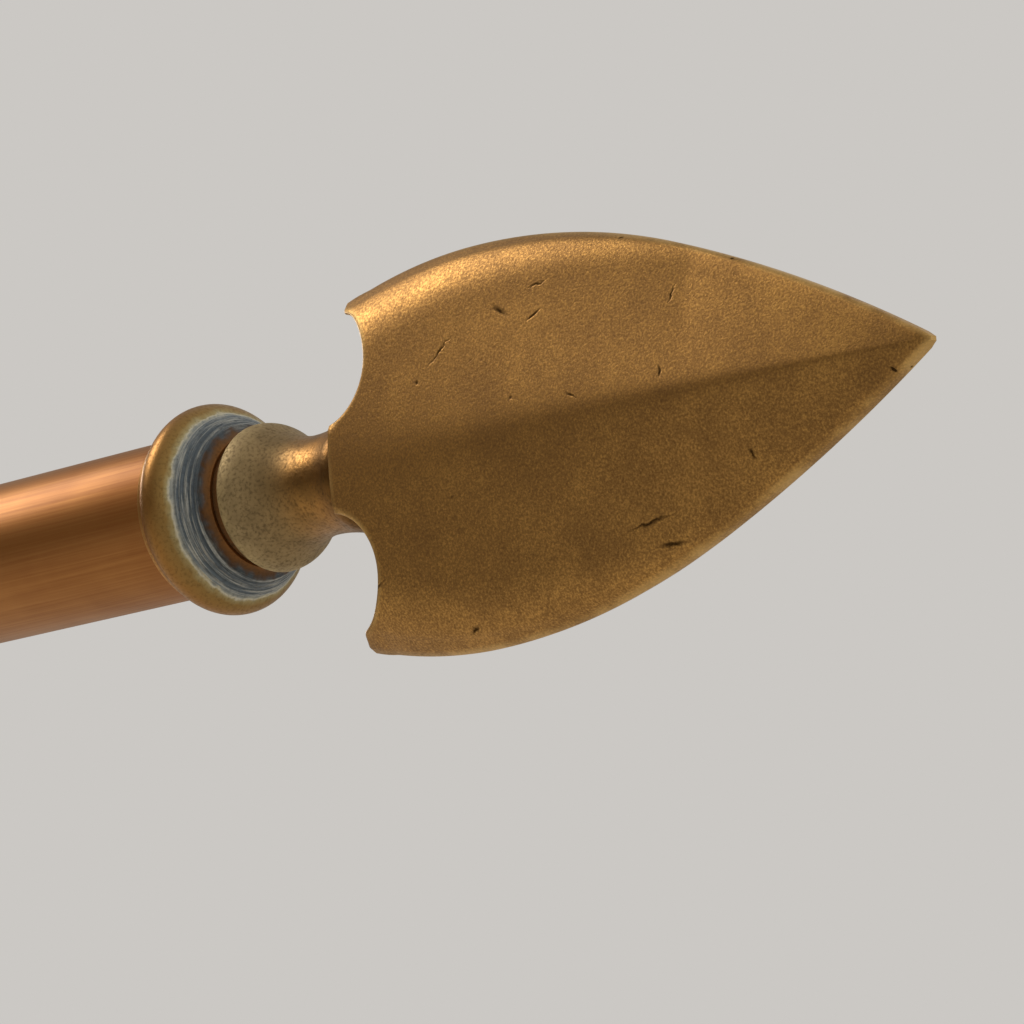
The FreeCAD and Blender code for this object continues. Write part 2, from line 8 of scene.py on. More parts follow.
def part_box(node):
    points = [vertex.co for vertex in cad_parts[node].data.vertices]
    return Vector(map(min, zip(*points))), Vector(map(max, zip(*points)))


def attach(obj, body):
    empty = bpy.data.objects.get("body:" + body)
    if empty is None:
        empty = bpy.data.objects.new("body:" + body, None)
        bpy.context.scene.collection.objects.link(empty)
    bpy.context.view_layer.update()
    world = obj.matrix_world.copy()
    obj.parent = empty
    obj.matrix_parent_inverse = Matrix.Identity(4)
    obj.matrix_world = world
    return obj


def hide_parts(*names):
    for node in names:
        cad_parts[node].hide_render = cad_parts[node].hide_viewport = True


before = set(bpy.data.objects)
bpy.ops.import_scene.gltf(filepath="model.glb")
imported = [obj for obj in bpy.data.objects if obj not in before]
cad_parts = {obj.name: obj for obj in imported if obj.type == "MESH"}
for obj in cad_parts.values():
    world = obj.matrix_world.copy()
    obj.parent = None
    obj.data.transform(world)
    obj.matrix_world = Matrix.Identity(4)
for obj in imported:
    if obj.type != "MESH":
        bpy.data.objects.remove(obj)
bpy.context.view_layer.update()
print("frame loaded")

mm = 0.001
fullTurn = 2 * math.pi

# places of the pole and its brackets, which the new pieces are built on
tubeLow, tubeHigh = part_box("pole_tube")
poleY = (tubeLow.y + tubeHigh.y) / 2
poleZ = (tubeLow.z + tubeHigh.z) / 2
poleRadius = (tubeHigh.z - tubeLow.z) / 2
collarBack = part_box("right_collar")[0].x
ringLow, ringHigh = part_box("right_pole_ring")
bracketX = (ringLow.x + ringHigh.x) / 2
sides = {"right": 1, "left": -1}


def onlySelect(piece):
    bpy.ops.object.select_all(action="DESELECT")
    piece.select_set(True)
    bpy.context.view_layer.objects.active = piece


def bow(start, end, depth, steps=10):
    # the points after start of an arc that stands depth to the left of the way to end
    first, last = Vector(start), Vector(end)
    chord = last - first
    across = Vector((-chord.y, chord.x)).normalized()
    radius = (chord.length ** 2 / 4 + depth ** 2) / (2 * abs(depth))
    half = math.asin(min(1.0, chord.length / 2 / radius))
    points = []
    for step in range(1, steps + 1):
        angle = half * (2 * step / steps - 1)
        along = (math.sin(angle) / math.sin(half) + 1) / 2
        rise = radius * (math.cos(angle) - math.cos(half)) * math.copysign(1, depth)
        points.append(tuple(first + chord * along + across * rise))
    return points


def addModifier(piece, kind, **settings):
    onlySelect(piece)
    modifier = piece.modifiers.new(kind.title(), kind)
    for key, value in settings.items():
        setattr(modifier, key, value)
    bpy.ops.object.modifier_apply(modifier=modifier.name)


def placePiece(piece, place, direction):
    # the piece is modelled along +X from the origin
    piece.rotation_euler = Vector(direction).to_track_quat("X", "Z").to_euler()
    piece.location = place
    onlySelect(piece)
    bpy.ops.object.transform_apply(location=True, rotation=True, scale=True)


def turnPiece(name, outline, steps=96, edge=0.15, edgeAngle=28):
    # an outline of (along, radius) in mm, drawn point by point and spun round X
    bpy.ops.object.select_all(action="DESELECT")
    bpy.ops.mesh.primitive_plane_add(size=mm, location=(0, 0, 0))
    piece = bpy.context.object
    piece.name = name
    bpy.ops.object.mode_set(mode="EDIT")
    bpy.ops.mesh.merge(type="CENTER")
    bpy.ops.mesh.select_all(action="SELECT")
    here = Vector((0, 0))
    for index, point in enumerate(outline + outline[:1]):
        move = (Vector(point) - here) * mm
        here = Vector(point)
        if index == 0:
            bpy.ops.transform.translate(value=(move.x, move.y, 0))
        else:
            bpy.ops.mesh.extrude_vertices_move(TRANSFORM_OT_translate={"value": (move.x, move.y, 0)})
    bpy.ops.mesh.select_all(action="SELECT")
    bpy.ops.mesh.spin(steps=steps, angle=fullTurn, center=(0, 0, 0), axis=(1, 0, 0))
    bpy.ops.mesh.select_all(action="SELECT")
    bpy.ops.mesh.remove_doubles(threshold=0.002 * mm)
    bpy.ops.mesh.select_all(action="SELECT")
    bpy.ops.mesh.normals_make_consistent(inside=False)
    bpy.ops.object.mode_set(mode="OBJECT")
    if edge:
        addModifier(piece, "BEVEL", width=edge * mm, segments=2, limit_method="ANGLE",
                    angle_limit=math.radians(edgeAngle))
    smoothPiece(piece)
    return piece


def smoothPiece(piece, angle=35):
    onlySelect(piece)
    bpy.ops.object.shade_smooth_by_angle(angle=math.radians(angle))


def joinPieces(name, *parts):
    onlySelect(parts[0])
    for part in parts:
        part.select_set(True)
    bpy.ops.object.join()
    parts[0].name = name
    return parts[0]


def makeThread(name, start, length, radius, pitch, depth):
    # a ridge wound round X, its two ends closed; sunk a little into the core
    bpy.ops.object.select_all(action="DESELECT")
    bpy.ops.mesh.primitive_circle_add(vertices=3, radius=pitch * 0.5 * mm, location=(0, 0, 0))
    ridge = bpy.context.object
    ridge.name = name
    low = radius - depth - 0.06
    corners = [(0.02 * pitch, low), (0.98 * pitch, low), (0.5 * pitch, radius)]
    for vertex, (along, out) in zip(ridge.data.vertices, corners):
        vertex.co = ((start + along) * mm, out * mm, 0)
    turns = int((length - pitch) / pitch)
    addModifier(ridge, "SCREW", axis="X", angle=fullTurn, screw_offset=pitch * mm,
                iterations=turns, steps=28, render_steps=28, use_merge_vertices=True,
                merge_threshold=0.001 * mm)
    onlySelect(ridge)
    bpy.ops.object.mode_set(mode="EDIT")
    bpy.ops.mesh.select_mode(type="EDGE")
    bpy.ops.mesh.select_all(action="DESELECT")
    bpy.ops.mesh.select_non_manifold()
    bpy.ops.mesh.fill_holes(sides=4)
    bpy.ops.mesh.select_all(action="SELECT")
    bpy.ops.mesh.normals_make_consistent(inside=False)
    bpy.ops.object.mode_set(mode="OBJECT")
    return ridge


pole = {
    "wall": 1.2,
    "edge": 0.25,
    "bands": 12,
}


def makePole():
    length = (tubeHigh.x - tubeLow.x) / mm
    outer = poleRadius / mm
    inner = outer - pole["wall"]
    outline = [(0, inner), (0, outer)]
    outline += [(length * step / pole["bands"], outer) for step in range(1, pole["bands"])]
    outline += [(length, outer), (length, inner)]
    piece = turnPiece("poleTube", outline, steps=128, edge=pole["edge"])
    placePiece(piece, (tubeLow.x, poleY, poleZ), (1, 0, 0))
    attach(piece, "pole")
    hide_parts("pole_tube")
    return piece


collar = {
    "shoulder": 14.6,     # radius beside the bead and at the cone's large end
    "lip": 0.9,
    "beadLength": 6.2,
    "beadHeight": 1.85,
    "coneLength": 3.7,
    "coneDrop": 2.5,
    "cavettoLength": 1.0,
    "cavettoHollow": 0.25,
    "stem": 10.35,
    "socket": 3.0,
    "bore": 12.85,
    "washerSeat": (5.0, 7.55),
    "studHole": 4.0,
    "grooves": 5,
    "firstGroove": 0.5,
    "groovePitch": 0.66,
    "grooveDepth": 0.26,
    "grooveHalf": (0.17, 0.05),     # half its width at the mouth and at the bottom
    "edge": 0.04,
}
coneStart = collar["lip"] + collar["beadLength"]
neckSeat = coneStart + collar["coneLength"] + collar["cavettoLength"]


def makeCollar(side, turn):
    shoulder = collar["shoulder"]
    slope = collar["coneDrop"] / collar["coneLength"]
    outline = [(0, collar["bore"]), (0, shoulder), (collar["lip"], shoulder)]
    outline += bow((collar["lip"], shoulder), (coneStart, shoulder), collar["beadHeight"], 22)
    mouth, bottom = collar["grooveHalf"]
    deep = collar["grooveDepth"]
    groove = ((-mouth, 0), (-bottom, deep), (bottom, deep), (mouth, 0))
    for line in range(collar["grooves"]):
        centre = collar["firstGroove"] + line * collar["groovePitch"]
        for offset, depth in groove:
            along = centre + offset
            outline.append((coneStart + along, shoulder - slope * along - depth))
    coneEnd = (coneStart + collar["coneLength"], shoulder - collar["coneDrop"])
    outline.append(coneEnd)
    outline += bow(coneEnd, (neckSeat, collar["stem"]), -collar["cavettoHollow"], 6)
    seatEnd, seatRadius = collar["washerSeat"]
    outline += [(neckSeat, collar["studHole"]), (seatEnd, collar["studHole"])]
    outline += [(seatEnd, seatRadius), (collar["socket"], seatRadius)]
    outline += [(collar["socket"], collar["bore"])]
    piece = turnPiece(side + "Collar", outline, steps=128, edge=collar["edge"])
    placePiece(piece, (turn * collarBack, poleY, poleZ), (turn, 0, 0))
    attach(piece, side + "_finial")
    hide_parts(side + "_collar")
    return piece


neck = {                    # pairs are (distance from the collar's back, radius)
    "stem": 10.0,
    "stemEnd": 12.7,
    "cupBack": (14.0, 11.0),
    "cupLip": (15.2, 11.5),
    "shoulder": (18.8, 10.15),
    "waist": (26.6, 7.7),
    "lip": (34.6, 8.7),
    "bows": (-0.2, 0.16, 0.29, -0.62, -0.25),   # hollow or round of the stretches from stem to lip
    "end": 36.2,
    "spigot": (45.2, 5.0),
    "hole": (24.6, 4.0),
    "edge": 0.22,
}


def makeNeck(side, turn):
    stemEnd = (neck["stemEnd"], neck["stem"])
    outline = [(neckSeat, neck["hole"][1]), (neckSeat, neck["stem"]), stemEnd]
    stations = [stemEnd, neck["cupBack"], neck["cupLip"], neck["shoulder"], neck["waist"], neck["lip"]]
    for start, end, depth, steps in zip(stations, stations[1:], neck["bows"], (6, 6, 8, 16, 12)):
        outline += bow(start, end, depth, steps)
    spigotEnd, spigot = neck["spigot"]
    outline += [(neck["end"], neck["lip"][1]), (neck["end"], spigot), (spigotEnd, spigot)]
    outline += [(spigotEnd, 0), (neck["hole"][0], 0), neck["hole"]]
    piece = turnPiece(side + "Neck", outline, steps=112, edge=neck["edge"])
    placePiece(piece, (turn * collarBack, poleY, poleZ), (turn, 0, 0))
    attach(piece, side + "_finial")
    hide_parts(side + "_neck")
    return piece


blade = {
    "length": 108.9,        # from the neck's end to the point
    "crest": (9.3, 1.1),    # half thickness at the rear and at the point
    "crestFall": 2.2,
    "edge": 1.1,            # half thickness at the rim
    "crestSoft": (0.2, 0.09, 0.03),     # how blunt the crest is at the rear, at a quarter and at the point
    "sideRound": (3.8, 0.5),    # radius of the side edge, at the rear and where the roll ends
    "rearRound": 0.8,
    "root": (0.0, 6.6),     # corners of the rear edge, as (station, height)
    "heel": (-0.4, 24.2),
    "notchHollow": 7.4,
    "barb": (-2.0, 25.9),
    "barbHollow": 0.2,
    "side": ((-0.9, 27.0), (3.2, 27.8), (22.7, 30.0), (61.8, 23.3)),
    "sideBows": (0.3, 0.1, 0.51, 1.69, 1.29, 0.1),  # how far each stretch of the side bulges
    "tip": (0.2, 0.6),      # the point's length and half height
    "rollWidth": (15.0, 3.0),   # the facets roll over into the side edge, up to rollEnd
    "rollDrop": (5.5, 0.3),
    "rollEnd": 68.0,
    "rows": 150,
    "rowSpread": 0.35,      # 1 spaces the rows evenly, less crowds them at the rear
    "sideBandNarrowing": 0.5,      # how much narrower the side's band of wear is than the rear's, so the rear notch edges also carry a painted highlight line
}


def bladeRear():
    # the rear edge from the middle out to the barb's corner, as (station, height)
    root, heel, barb = blade["root"], blade["heel"], blade["barb"]
    points = [(root[0], root[1] * step / 8) for step in range(9)]
    points += bow(root, heel, -blade["notchHollow"], 38)
    points += bow(heel, barb, -blade["barbHollow"], 8)
    return np.array(points)


def bladeSide():
    # the side edge from the barb's corner to the point
    length = blade["length"]
    tipLength, tipHeight = blade["tip"]
    corners = [blade["barb"], *blade["side"], (length - tipLength, tipHeight), (length, 0.0)]
    points = [corners[0]]
    for start, end, depth in zip(corners, corners[1:], blade["sideBows"]):
        points += bow(start, end, depth, 20)
    return np.array(points)


def distanceToLine(points, line):
    best = np.full(len(points), 1e9)
    for start, end in zip(line[:-1], line[1:]):
        run = end - start
        share = np.clip(((points - start) @ run) / max(run @ run, 1e-12), 0, 1)
        best = np.minimum(best, np.linalg.norm(points - start - share[:, None] * run, axis=1))
    return best


def makeBlade(side, turn):
    rear, edge = bladeRear(), bladeSide()
    length = blade["length"]
    widest = rear[-1][1]
    columns = len(rear) * 2 - 1
    rows = blade["rows"]
    bpy.ops.object.select_all(action="DESELECT")
    bpy.ops.mesh.primitive_grid_add(x_subdivisions=rows, y_subdivisions=columns - 1, size=2)
    piece = bpy.context.object
    piece.name = side + "Blade"
    count = len(piece.data.vertices)
    places = np.zeros(count * 3)
    piece.data.vertices.foreach_get("co", places)
    places = places.reshape(-1, 3)
    row = np.rint((places[:, 0] + 1) / 2 * rows)
    column = np.rint((places[:, 1] + 1) / 2 * (columns - 1)).astype(int) - (len(rear) - 1)

    along = row / rows
    share = blade["rowSpread"] * along + (1 - blade["rowSpread"]) * along ** 2.1
    share = np.where(row == rows, 1.0, share)
    rearX, rearZ = rear[np.abs(column), 0], rear[np.abs(column), 1]
    x = rearX + share * (length - rearX)
    width = np.interp(x, edge[:, 0], edge[:, 1])
    # the first row lies on the rear edge, and the next ones widen to the side edge
    pinch = (np.interp(rearX, edge[:, 0], edge[:, 1]) - widest) * (1 - share) ** 8
    z = rearZ / widest * (width - pinch)

    outline = np.column_stack([x, z])
    fromRear = distanceToLine(outline, rear)
    fromSide = distanceToLine(outline, edge)
    fromRear[row == 0] = 0
    fromSide[(np.abs(column) == len(rear) - 1) | (row == rows)] = 0

    # a crest along the middle, facets that fall from it, and a roll into the side edge
    reach = np.clip(x / length, 0, 1)
    thickRear, thickTip = blade["crest"]
    crest = thickTip + (thickRear - thickTip) * (1 - reach ** blade["crestFall"])
    soft = np.interp(reach, [0, 0.25, 1], blade["crestSoft"])
    across = z / np.maximum(width, 0.4)
    fall = (np.sqrt(across ** 2 + soft ** 2) - soft) / (np.sqrt(1 + soft ** 2) - soft)
    drop = np.interp(x, [0, blade["rollEnd"]], blade["rollDrop"])
    rollWidth = np.interp(x, [0, blade["rollEnd"]], blade["rollWidth"])
    roll = (1 - np.clip(fromSide / rollWidth, 0, 1)) ** 3
    facet = np.maximum(crest - blade["edge"] - drop, 0)
    height = blade["edge"] + facet * (1 - np.clip(fall, 0, 1)) + drop * (1 - roll)
    sideRound = np.minimum(np.interp(x, [0, blade["rollEnd"]], blade["sideRound"]), 0.98 * height)
    rearRound = np.minimum(blade["rearRound"], 0.98 * height)
    for rounding, distance in ((sideRound, fromSide), (rearRound, fromRear)):
        near = np.clip(distance / rounding, 0, 1)
        height = height - rounding * (1 - np.sqrt(1 - (1 - near) ** 2))
    height = np.maximum(height, 0.02)

    places[:, 0] = x * mm
    places[:, 1] = -height * mm
    places[:, 2] = z * np.sign(column) * mm
    piece.data.vertices.foreach_set("co", places.ravel())
    # the distance from the rim feeds the worn rim and its painted highlight; the side's distance is pushed
    # out so the band is widest on the rear edges
    rimShare = piece.data.attributes.new("rimDistance", "FLOAT", "POINT")
    rimShare.data.foreach_set("value", np.minimum(fromSide + blade["sideBandNarrowing"], fromRear))
    piece.data.update()
    closeBlade(piece)
    placePiece(piece, (turn * (collarBack + neck["end"] * mm), poleY, poleZ), (turn, 0, 0))
    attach(piece, side + "_finial")
    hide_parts(side + "_blade")
    return piece


def closeBlade(piece):
    # the far face is a mirrored copy, and a narrow band of faces joins the two rims
    onlySelect(piece)
    bpy.ops.object.duplicate()
    copy = bpy.context.object
    copy.scale = (1, -1, 1)
    onlySelect(copy)
    bpy.ops.object.transform_apply(location=False, rotation=False, scale=True)
    joinPieces(piece.name, piece, copy)
    bpy.ops.object.mode_set(mode="EDIT")
    bpy.ops.mesh.select_all(action="DESELECT")
    bpy.ops.mesh.select_mode(type="EDGE")
    bpy.ops.mesh.select_non_manifold()
    bpy.ops.mesh.bridge_edge_loops()
    bpy.ops.mesh.select_all(action="SELECT")
    bpy.ops.mesh.select_mode(type="VERT")
    bpy.ops.mesh.remove_doubles(threshold=0.004 * mm)
    bpy.ops.mesh.select_all(action="SELECT")
    bpy.ops.mesh.normals_make_consistent(inside=False)
    bpy.ops.object.mode_set(mode="OBJECT")
    smoothPiece(piece, 50)


stud = {
    "start": -7.5,          # from the collar's back face
    "end": 23.8,
    "radius": 3.95,
    "pitch": 1.25,
    "depth": 0.72,
    "plain": (-1.2, 12.6),  # the stretch between the two threads
}


def makeStud(side, turn):
    core = stud["radius"] - stud["depth"]
    radius = stud["radius"]
    start, end = stud["start"], stud["end"]
    plainStart, plainEnd = stud["plain"]
    outline = [(start, 0), (start, core - 0.5), (start + 0.5, core), (plainStart - 0.5, core)]
    outline += [(plainStart, radius), (plainEnd, radius), (plainEnd + 0.5, core)]
    outline += [(end - 0.5, core), (end, core - 0.5), (end, 0)]
    shank = turnPiece(side + "StudShank", outline, steps=48, edge=0)
    inner = makeThread(side + "StudInner", start + 0.4, plainStart - start - 0.4, radius,
                       stud["pitch"], stud["depth"])
    outer = makeThread(side + "StudOuter", plainEnd, end - plainEnd - 0.5, radius,
                       stud["pitch"], stud["depth"])
    piece = joinPieces(side + "Stud", shank, inner, outer)
    smoothPiece(piece, 30)
    placePiece(piece, (turn * collarBack, poleY, poleZ), (turn, 0, 0))
    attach(piece, side + "_finial")
    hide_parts(side + "_stud")
    return piece


bracket = {                 # pairs are (distance from the pole's centre line, radius)
    "ringWidth": 14.0,
    "ringBore": 12.85,
    "ringWall": 4.0,
    "ringCrown": 2.25,
    "armBoss": (20.5, 6.5),
    "clampBoss": (21.5, 5.25),
    "clampHole": 2.5,
    "armEnd": (22.5, 6.2),
    "armBead": (27.0, 1.0),
    "armWaist": 5.0,
    "armHollow": 0.73,
    "armSweep": (66.0, 6.3),
    "armFoot": (71.0, 9.0),
    "armFootRound": 0.75,
    "roseTop": (73.0, 10.5),
    "roseShoulder": (80.05, 25.5),
    "roseRim": 28.0,
    "roseWall": 1.6,
    "roseHollow": 1.9,
    "roseHole": 4.35,
    "edge": 0.3,
}


def makeRing(side, turn):
    half = bracket["ringWidth"] / 2
    bore, wall = bracket["ringBore"], bracket["ringWall"]
    outline = [(-half, bore), (-half, bore + wall)]
    outline += bow((-half, bore + wall), (half, bore + wall), bracket["ringCrown"], 18)
    outline += [(half, bore)]
    piece = turnPiece(side + "RingBand", outline, steps=112, edge=bracket["edge"])
    placePiece(piece, (turn * bracketX, poleY, poleZ), (1, 0, 0))

    seat = bore + wall - 1.0
    reach, radius = bracket["armBoss"]
    armBoss = turnPiece(side + "ArmBoss", [(seat, 0), (seat, radius), (reach, radius), (reach, 0)],
                        steps=64, edge=bracket["edge"])
    placePiece(armBoss, (turn * bracketX, poleY, poleZ), (0, 1, 0))
    reach, radius = bracket["clampBoss"]
    hole = bracket["clampHole"]
    bossOutline = [(seat, hole), (seat, radius), (reach, radius), (reach, hole)]
    clampBoss = turnPiece(side + "ClampBoss", bossOutline, steps=64, edge=bracket["edge"])
    placePiece(clampBoss, (turn * bracketX, poleY, poleZ), (0, 0, -1))
    piece = joinPieces(side + "PoleRing", piece, armBoss, clampBoss)
    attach(piece, "brackets")
    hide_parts(side + "_pole_ring")
    return piece


def makeArm(side, turn):
    bossEnd = bracket["armBoss"][0]
    beadStart, endRadius = bracket["armEnd"]
    beadEnd, beadRise = bracket["armBead"]
    sweepEnd, sweepRadius = bracket["armSweep"]
    footEnd, footRadius = bracket["armFoot"]
    roseTop = bracket["roseTop"][0]
    outline = [(bossEnd, 0), (bossEnd, endRadius), (beadStart, endRadius)]
    outline += bow((beadStart, endRadius), (beadEnd, bracket["armWaist"]), beadRise, 14)
    outline += bow((beadEnd, bracket["armWaist"]), (sweepEnd, sweepRadius), -bracket["armHollow"], 18)
    step = (sweepEnd, sweepRadius + 1.0)
    outline += [step, *bow(step, (footEnd, footRadius), bracket["armFootRound"], 10)]
    outline += [(roseTop, footRadius), (roseTop, 0)]
    piece = turnPiece(side + "Arm", outline, steps=80, edge=bracket["edge"])
    placePiece(piece, (turn * bracketX, poleY, poleZ), (0, 1, 0))
    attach(piece, "brackets")
    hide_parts(side + "_arm")
    return piece


def makeRose(side, turn):
    wallReach = -poleY / mm
    top, topRadius = bracket["roseTop"]
    shoulder, brow = bracket["roseShoulder"]
    rim, wall = bracket["roseRim"], bracket["roseWall"]
    hole = bracket["roseHole"]
    outline = [(top, hole), (top, topRadius)]
    outline += bow((top, topRadius), (shoulder, brow), -bracket["roseHollow"], 18)
    outline += [(shoulder + 1.5, rim), (wallReach, rim), (wallReach, brow - wall)]
    outline += [(shoulder + wall, brow - wall)]
    outline += bow((shoulder + wall, brow - wall), (top + wall, topRadius - wall),
                   bracket["roseHollow"], 18)
    outline += [(top + wall, hole)]
    piece = turnPiece(side + "Rose", outline, steps=128, edge=bracket["edge"])
    placePiece(piece, (turn * bracketX, poleY, poleZ), (0, 1, 0))
    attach(piece, "brackets")
    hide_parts(side + "_rose")
    return piece


thumbscrew = {
    "tip": 14.2,            # below the pole's centre line
    "shankEnd": 24.5,
    "radius": 2.45,
    "pitch": 0.8,
    "depth": 0.45,
    "neck": (26.1, 3.5),
    "head": (33.1, 6.5),
    "crown": 33.9,
    "chamfer": 0.9,
    "knurl": 60,            # ridges round the head
    "knurlBands": 5,
    "knurlHeight": 0.22,
}


def makeThumbscrew(side, turn):
    core = thumbscrew["radius"] - thumbscrew["depth"]
    tip, shankEnd = thumbscrew["tip"], thumbscrew["shankEnd"]
    headStart, neckRadius = thumbscrew["neck"]
    headEnd, headRadius = thumbscrew["head"]
    outline = [(tip, 0), (tip, core - 0.3), (tip + 0.3, core), (shankEnd, core)]
    outline += [(shankEnd, neckRadius), (headStart, neckRadius)]
    rim = headRadius - 0.25         # the knurl rises from here and stays within the head's radius
    shoulder = headRadius - thumbscrew["chamfer"]
    rimStart = headStart + 0.5
    run = headEnd - 0.5 - rimStart
    bands = thumbscrew["knurlBands"]
    outline += [(headStart, shoulder), (rimStart, rim)]
    outline += [(rimStart + run * step / bands, rim) for step in range(1, bands + 1)]
    outline += [(headEnd, shoulder), (thumbscrew["crown"], 0)]
    piece = turnPiece(side + "ThumbHead", outline, steps=thumbscrew["knurl"], edge=0)
    onlySelect(piece)
    bpy.ops.object.mode_set(mode="EDIT")
    bpy.ops.mesh.select_all(action="DESELECT")
    bpy.ops.mesh.select_mode(type="FACE")
    bpy.ops.object.mode_set(mode="OBJECT")
    for face in piece.data.polygons:
        out = math.hypot(face.center.y, face.center.z) / mm
        along = face.center.x / mm
        face.select = rimStart + 0.1 < along < headEnd - 0.6 and out > headRadius - 0.6
    bpy.ops.object.mode_set(mode="EDIT")
    bpy.ops.mesh.inset(thickness=0.12 * mm, depth=thumbscrew["knurlHeight"] * mm,
                       use_individual=True)
    bpy.ops.object.mode_set(mode="OBJECT")
    thread = makeThread(side + "ThumbThread", tip + 0.2, shankEnd - tip - 0.2, thumbscrew["radius"],
                        thumbscrew["pitch"], thumbscrew["depth"])
    piece = joinPieces(side + "Thumbscrew", piece, thread)
    smoothPiece(piece, 30)
    placePiece(piece, (turn * bracketX, poleY, poleZ), (0, 0, -1))
    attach(piece, side + "_thumbscrew")
    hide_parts(side + "_clamp_screw")
    return piece


def linear(hexColour):
    channels = [int(hexColour[place:place + 2], 16) / 255 for place in (0, 2, 4)]
    decoded = [c / 12.92 if c <= 0.04045 else ((c + 0.055) / 1.055) ** 2.4 for c in channels]
    return (*decoded, 1.0)


def addNode(tree, kind, links=None, stops=None, **settings):
    # links gives each input a value or the socket that feeds it
    made = tree.nodes.new(kind)
    for key, value in settings.items():
        setattr(made, key, value)
    for key, value in (links or {}).items():
        if isinstance(value, bpy.types.NodeSocket):
            tree.links.new(value, made.inputs[key])
        else:
            made.inputs[key].default_value = value
    if stops:
        while len(made.color_ramp.elements) < len(stops):
            made.color_ramp.elements.new(1.0)
        for element, (place, colour) in zip(made.color_ramp.elements, stops):
            element.position = place
            element.color = linear(colour) if isinstance(colour, str) else (colour, colour, colour, 1)
    return made


def startMaterial(name):
    material = bpy.data.materials.new(name)
    material.use_nodes = True
    tree = material.node_tree
    shader = tree.nodes["Principled BSDF"]
    place = addNode(tree, "ShaderNodeTexCoord").outputs["Object"]
    return material, tree, shader, place


def putOn(material, *pieces):
    for piece in pieces:
        piece.data.materials.clear()
        piece.data.materials.append(material)


poleFinish = {
    "bright": "b37c3f",
    "deep": "985f28",
    "roughness": 0.44,
    "lineWidth": 0.35,      # mm between brushing lines
    "stretch": 0.012,       # the lines are drawn out along the pole by its inverse
    "cloud": 18.18,         # mm between broad patches
    "lacquer": 0.35,
}


def makePoleFinish():
    # copper-bronze plate, brushed lengthwise and lacquered: long streaks and a warm satin shine
    material, tree, shader, place = startMaterial("brushedBronzePlate")
    lines = addNode(tree, "ShaderNodeMapping", {"Vector": place, "Scale": (poleFinish["stretch"], 1, 1)})
    fine = addNode(tree, "ShaderNodeTexNoise", {
        "Vector": lines.outputs[0], "Scale": 1 / (poleFinish["lineWidth"] * mm), "Detail": 2.0})
    broad = addNode(tree, "ShaderNodeTexNoise", {
        "Vector": place, "Scale": 1 / (poleFinish["cloud"] * mm), "Detail": 4.0})
    both = addNode(tree, "ShaderNodeMix", {0: 0.5, 2: fine.outputs["Fac"], 3: broad.outputs["Fac"]},
                   data_type="FLOAT")
    colour = addNode(tree, "ShaderNodeValToRGB", {0: both.outputs[0]},
                     stops=((0.3, poleFinish["deep"]), (0.7, poleFinish["bright"])))
    tree.links.new(colour.outputs["Color"], shader.inputs["Base Color"])
    rough = addNode(tree, "ShaderNodeMapRange", {
        0: both.outputs[0], 1: 0.3, 2: 0.7,
        3: poleFinish["roughness"] + 0.07, 4: poleFinish["roughness"] - 0.05})
    tree.links.new(rough.outputs[0], shader.inputs["Roughness"])
    bump = addNode(tree, "ShaderNodeBump", {
        "Height": fine.outputs["Fac"], "Strength": 0.25, "Distance": 0.02 * mm})
    tree.links.new(bump.outputs[0], shader.inputs["Normal"])
    shader.inputs["Metallic"].default_value = 1.0
    shader.inputs["Coat Weight"].default_value = poleFinish["lacquer"]
    shader.inputs["Coat Roughness"].default_value = 0.3
    return material


spearFinish = {
    "dark": "86643a",
    "body": "a67d46",
    "grain": "cf9f58",
    # the rubbed rim's colour, which also paints a highlight line along the rear edges
    "wornAndHighlit": "e3bd78",
    "pit": "2c1e0e",
    "roughness": 0.42,
    "speckle": 0.36,        # mm across
    "mottle": 9.0,          # mm between cloudy patches
    "wornAndHighlitRim": (0.3, 1.3),  # mm from the rim where the wear and its painted highlight start to fade and where they end
    "nickLength": 4.0,      # mm, like the next four
    "nickWidth": 0.4,
    "nickSpacing": 7.0,
    "pitSpacing": 3.0,
    "raggedness": 1.1,
    "darkShare": 0.68,      # how dark the pits, scratches and knocks are
}

# old knocks on the front of the right blade: station, height, length, width (mm), angle from level
spearDents = (
    (34.5, 17.7, 3.6, 1.1, -35),
    (65.6, 14.3, 2.6, 0.5, 70),
    (64.6, 3.2, 2.4, 0.5, -85),
    (48.8, 2.4, 2.6, 0.5, -30),
    (77.8, -10.6, 2.6, 0.8, -65),
    (58.6, -17.2, 8.0, 0.5, 8),
    (61.5, -20.6, 5.0, 0.9, 2),
    (41.4, 20.4, 3.4, 0.4, 8),
    (23.0, 13.5, 5.5, 0.4, 45),
    (23.0, -27.2, 2.6, 0.7, 25),
)


def addNicks(tree, place, spacing, length, width, angle, share, seed):
    # short scratches at one angle: one to a cell, and most cells have none
    turned = addNode(tree, "ShaderNodeMapping", {
        "Vector": place, "Location": (seed, seed * 1.7, seed * 0.6), "Rotation": (0, angle, 0)})
    stretched = addNode(tree, "ShaderNodeMapping", {
        "Vector": turned.outputs[0], "Scale": (width / length, 1, 1)})
    cells = addNode(tree, "ShaderNodeTexVoronoi", {
        "Vector": stretched.outputs[0], "Scale": 1 / (spacing * width / length * 2.2 * mm)})
    marked = addNode(tree, "ShaderNodeSeparateColor", {"Color": cells.outputs["Color"]})
    chosen = addNode(tree, "ShaderNodeMath", {0: marked.outputs[0], 1: share}, operation="LESS_THAN")
    inside = addNode(tree, "ShaderNodeMapRange", {
        0: cells.outputs["Distance"], 1: 0.11, 2: 0.2, 3: 1.0, 4: 0.0})
    return addNode(tree, "ShaderNodeMath", {0: chosen.outputs[0], 1: inside.outputs[0]},
                   operation="MULTIPLY").outputs[0]


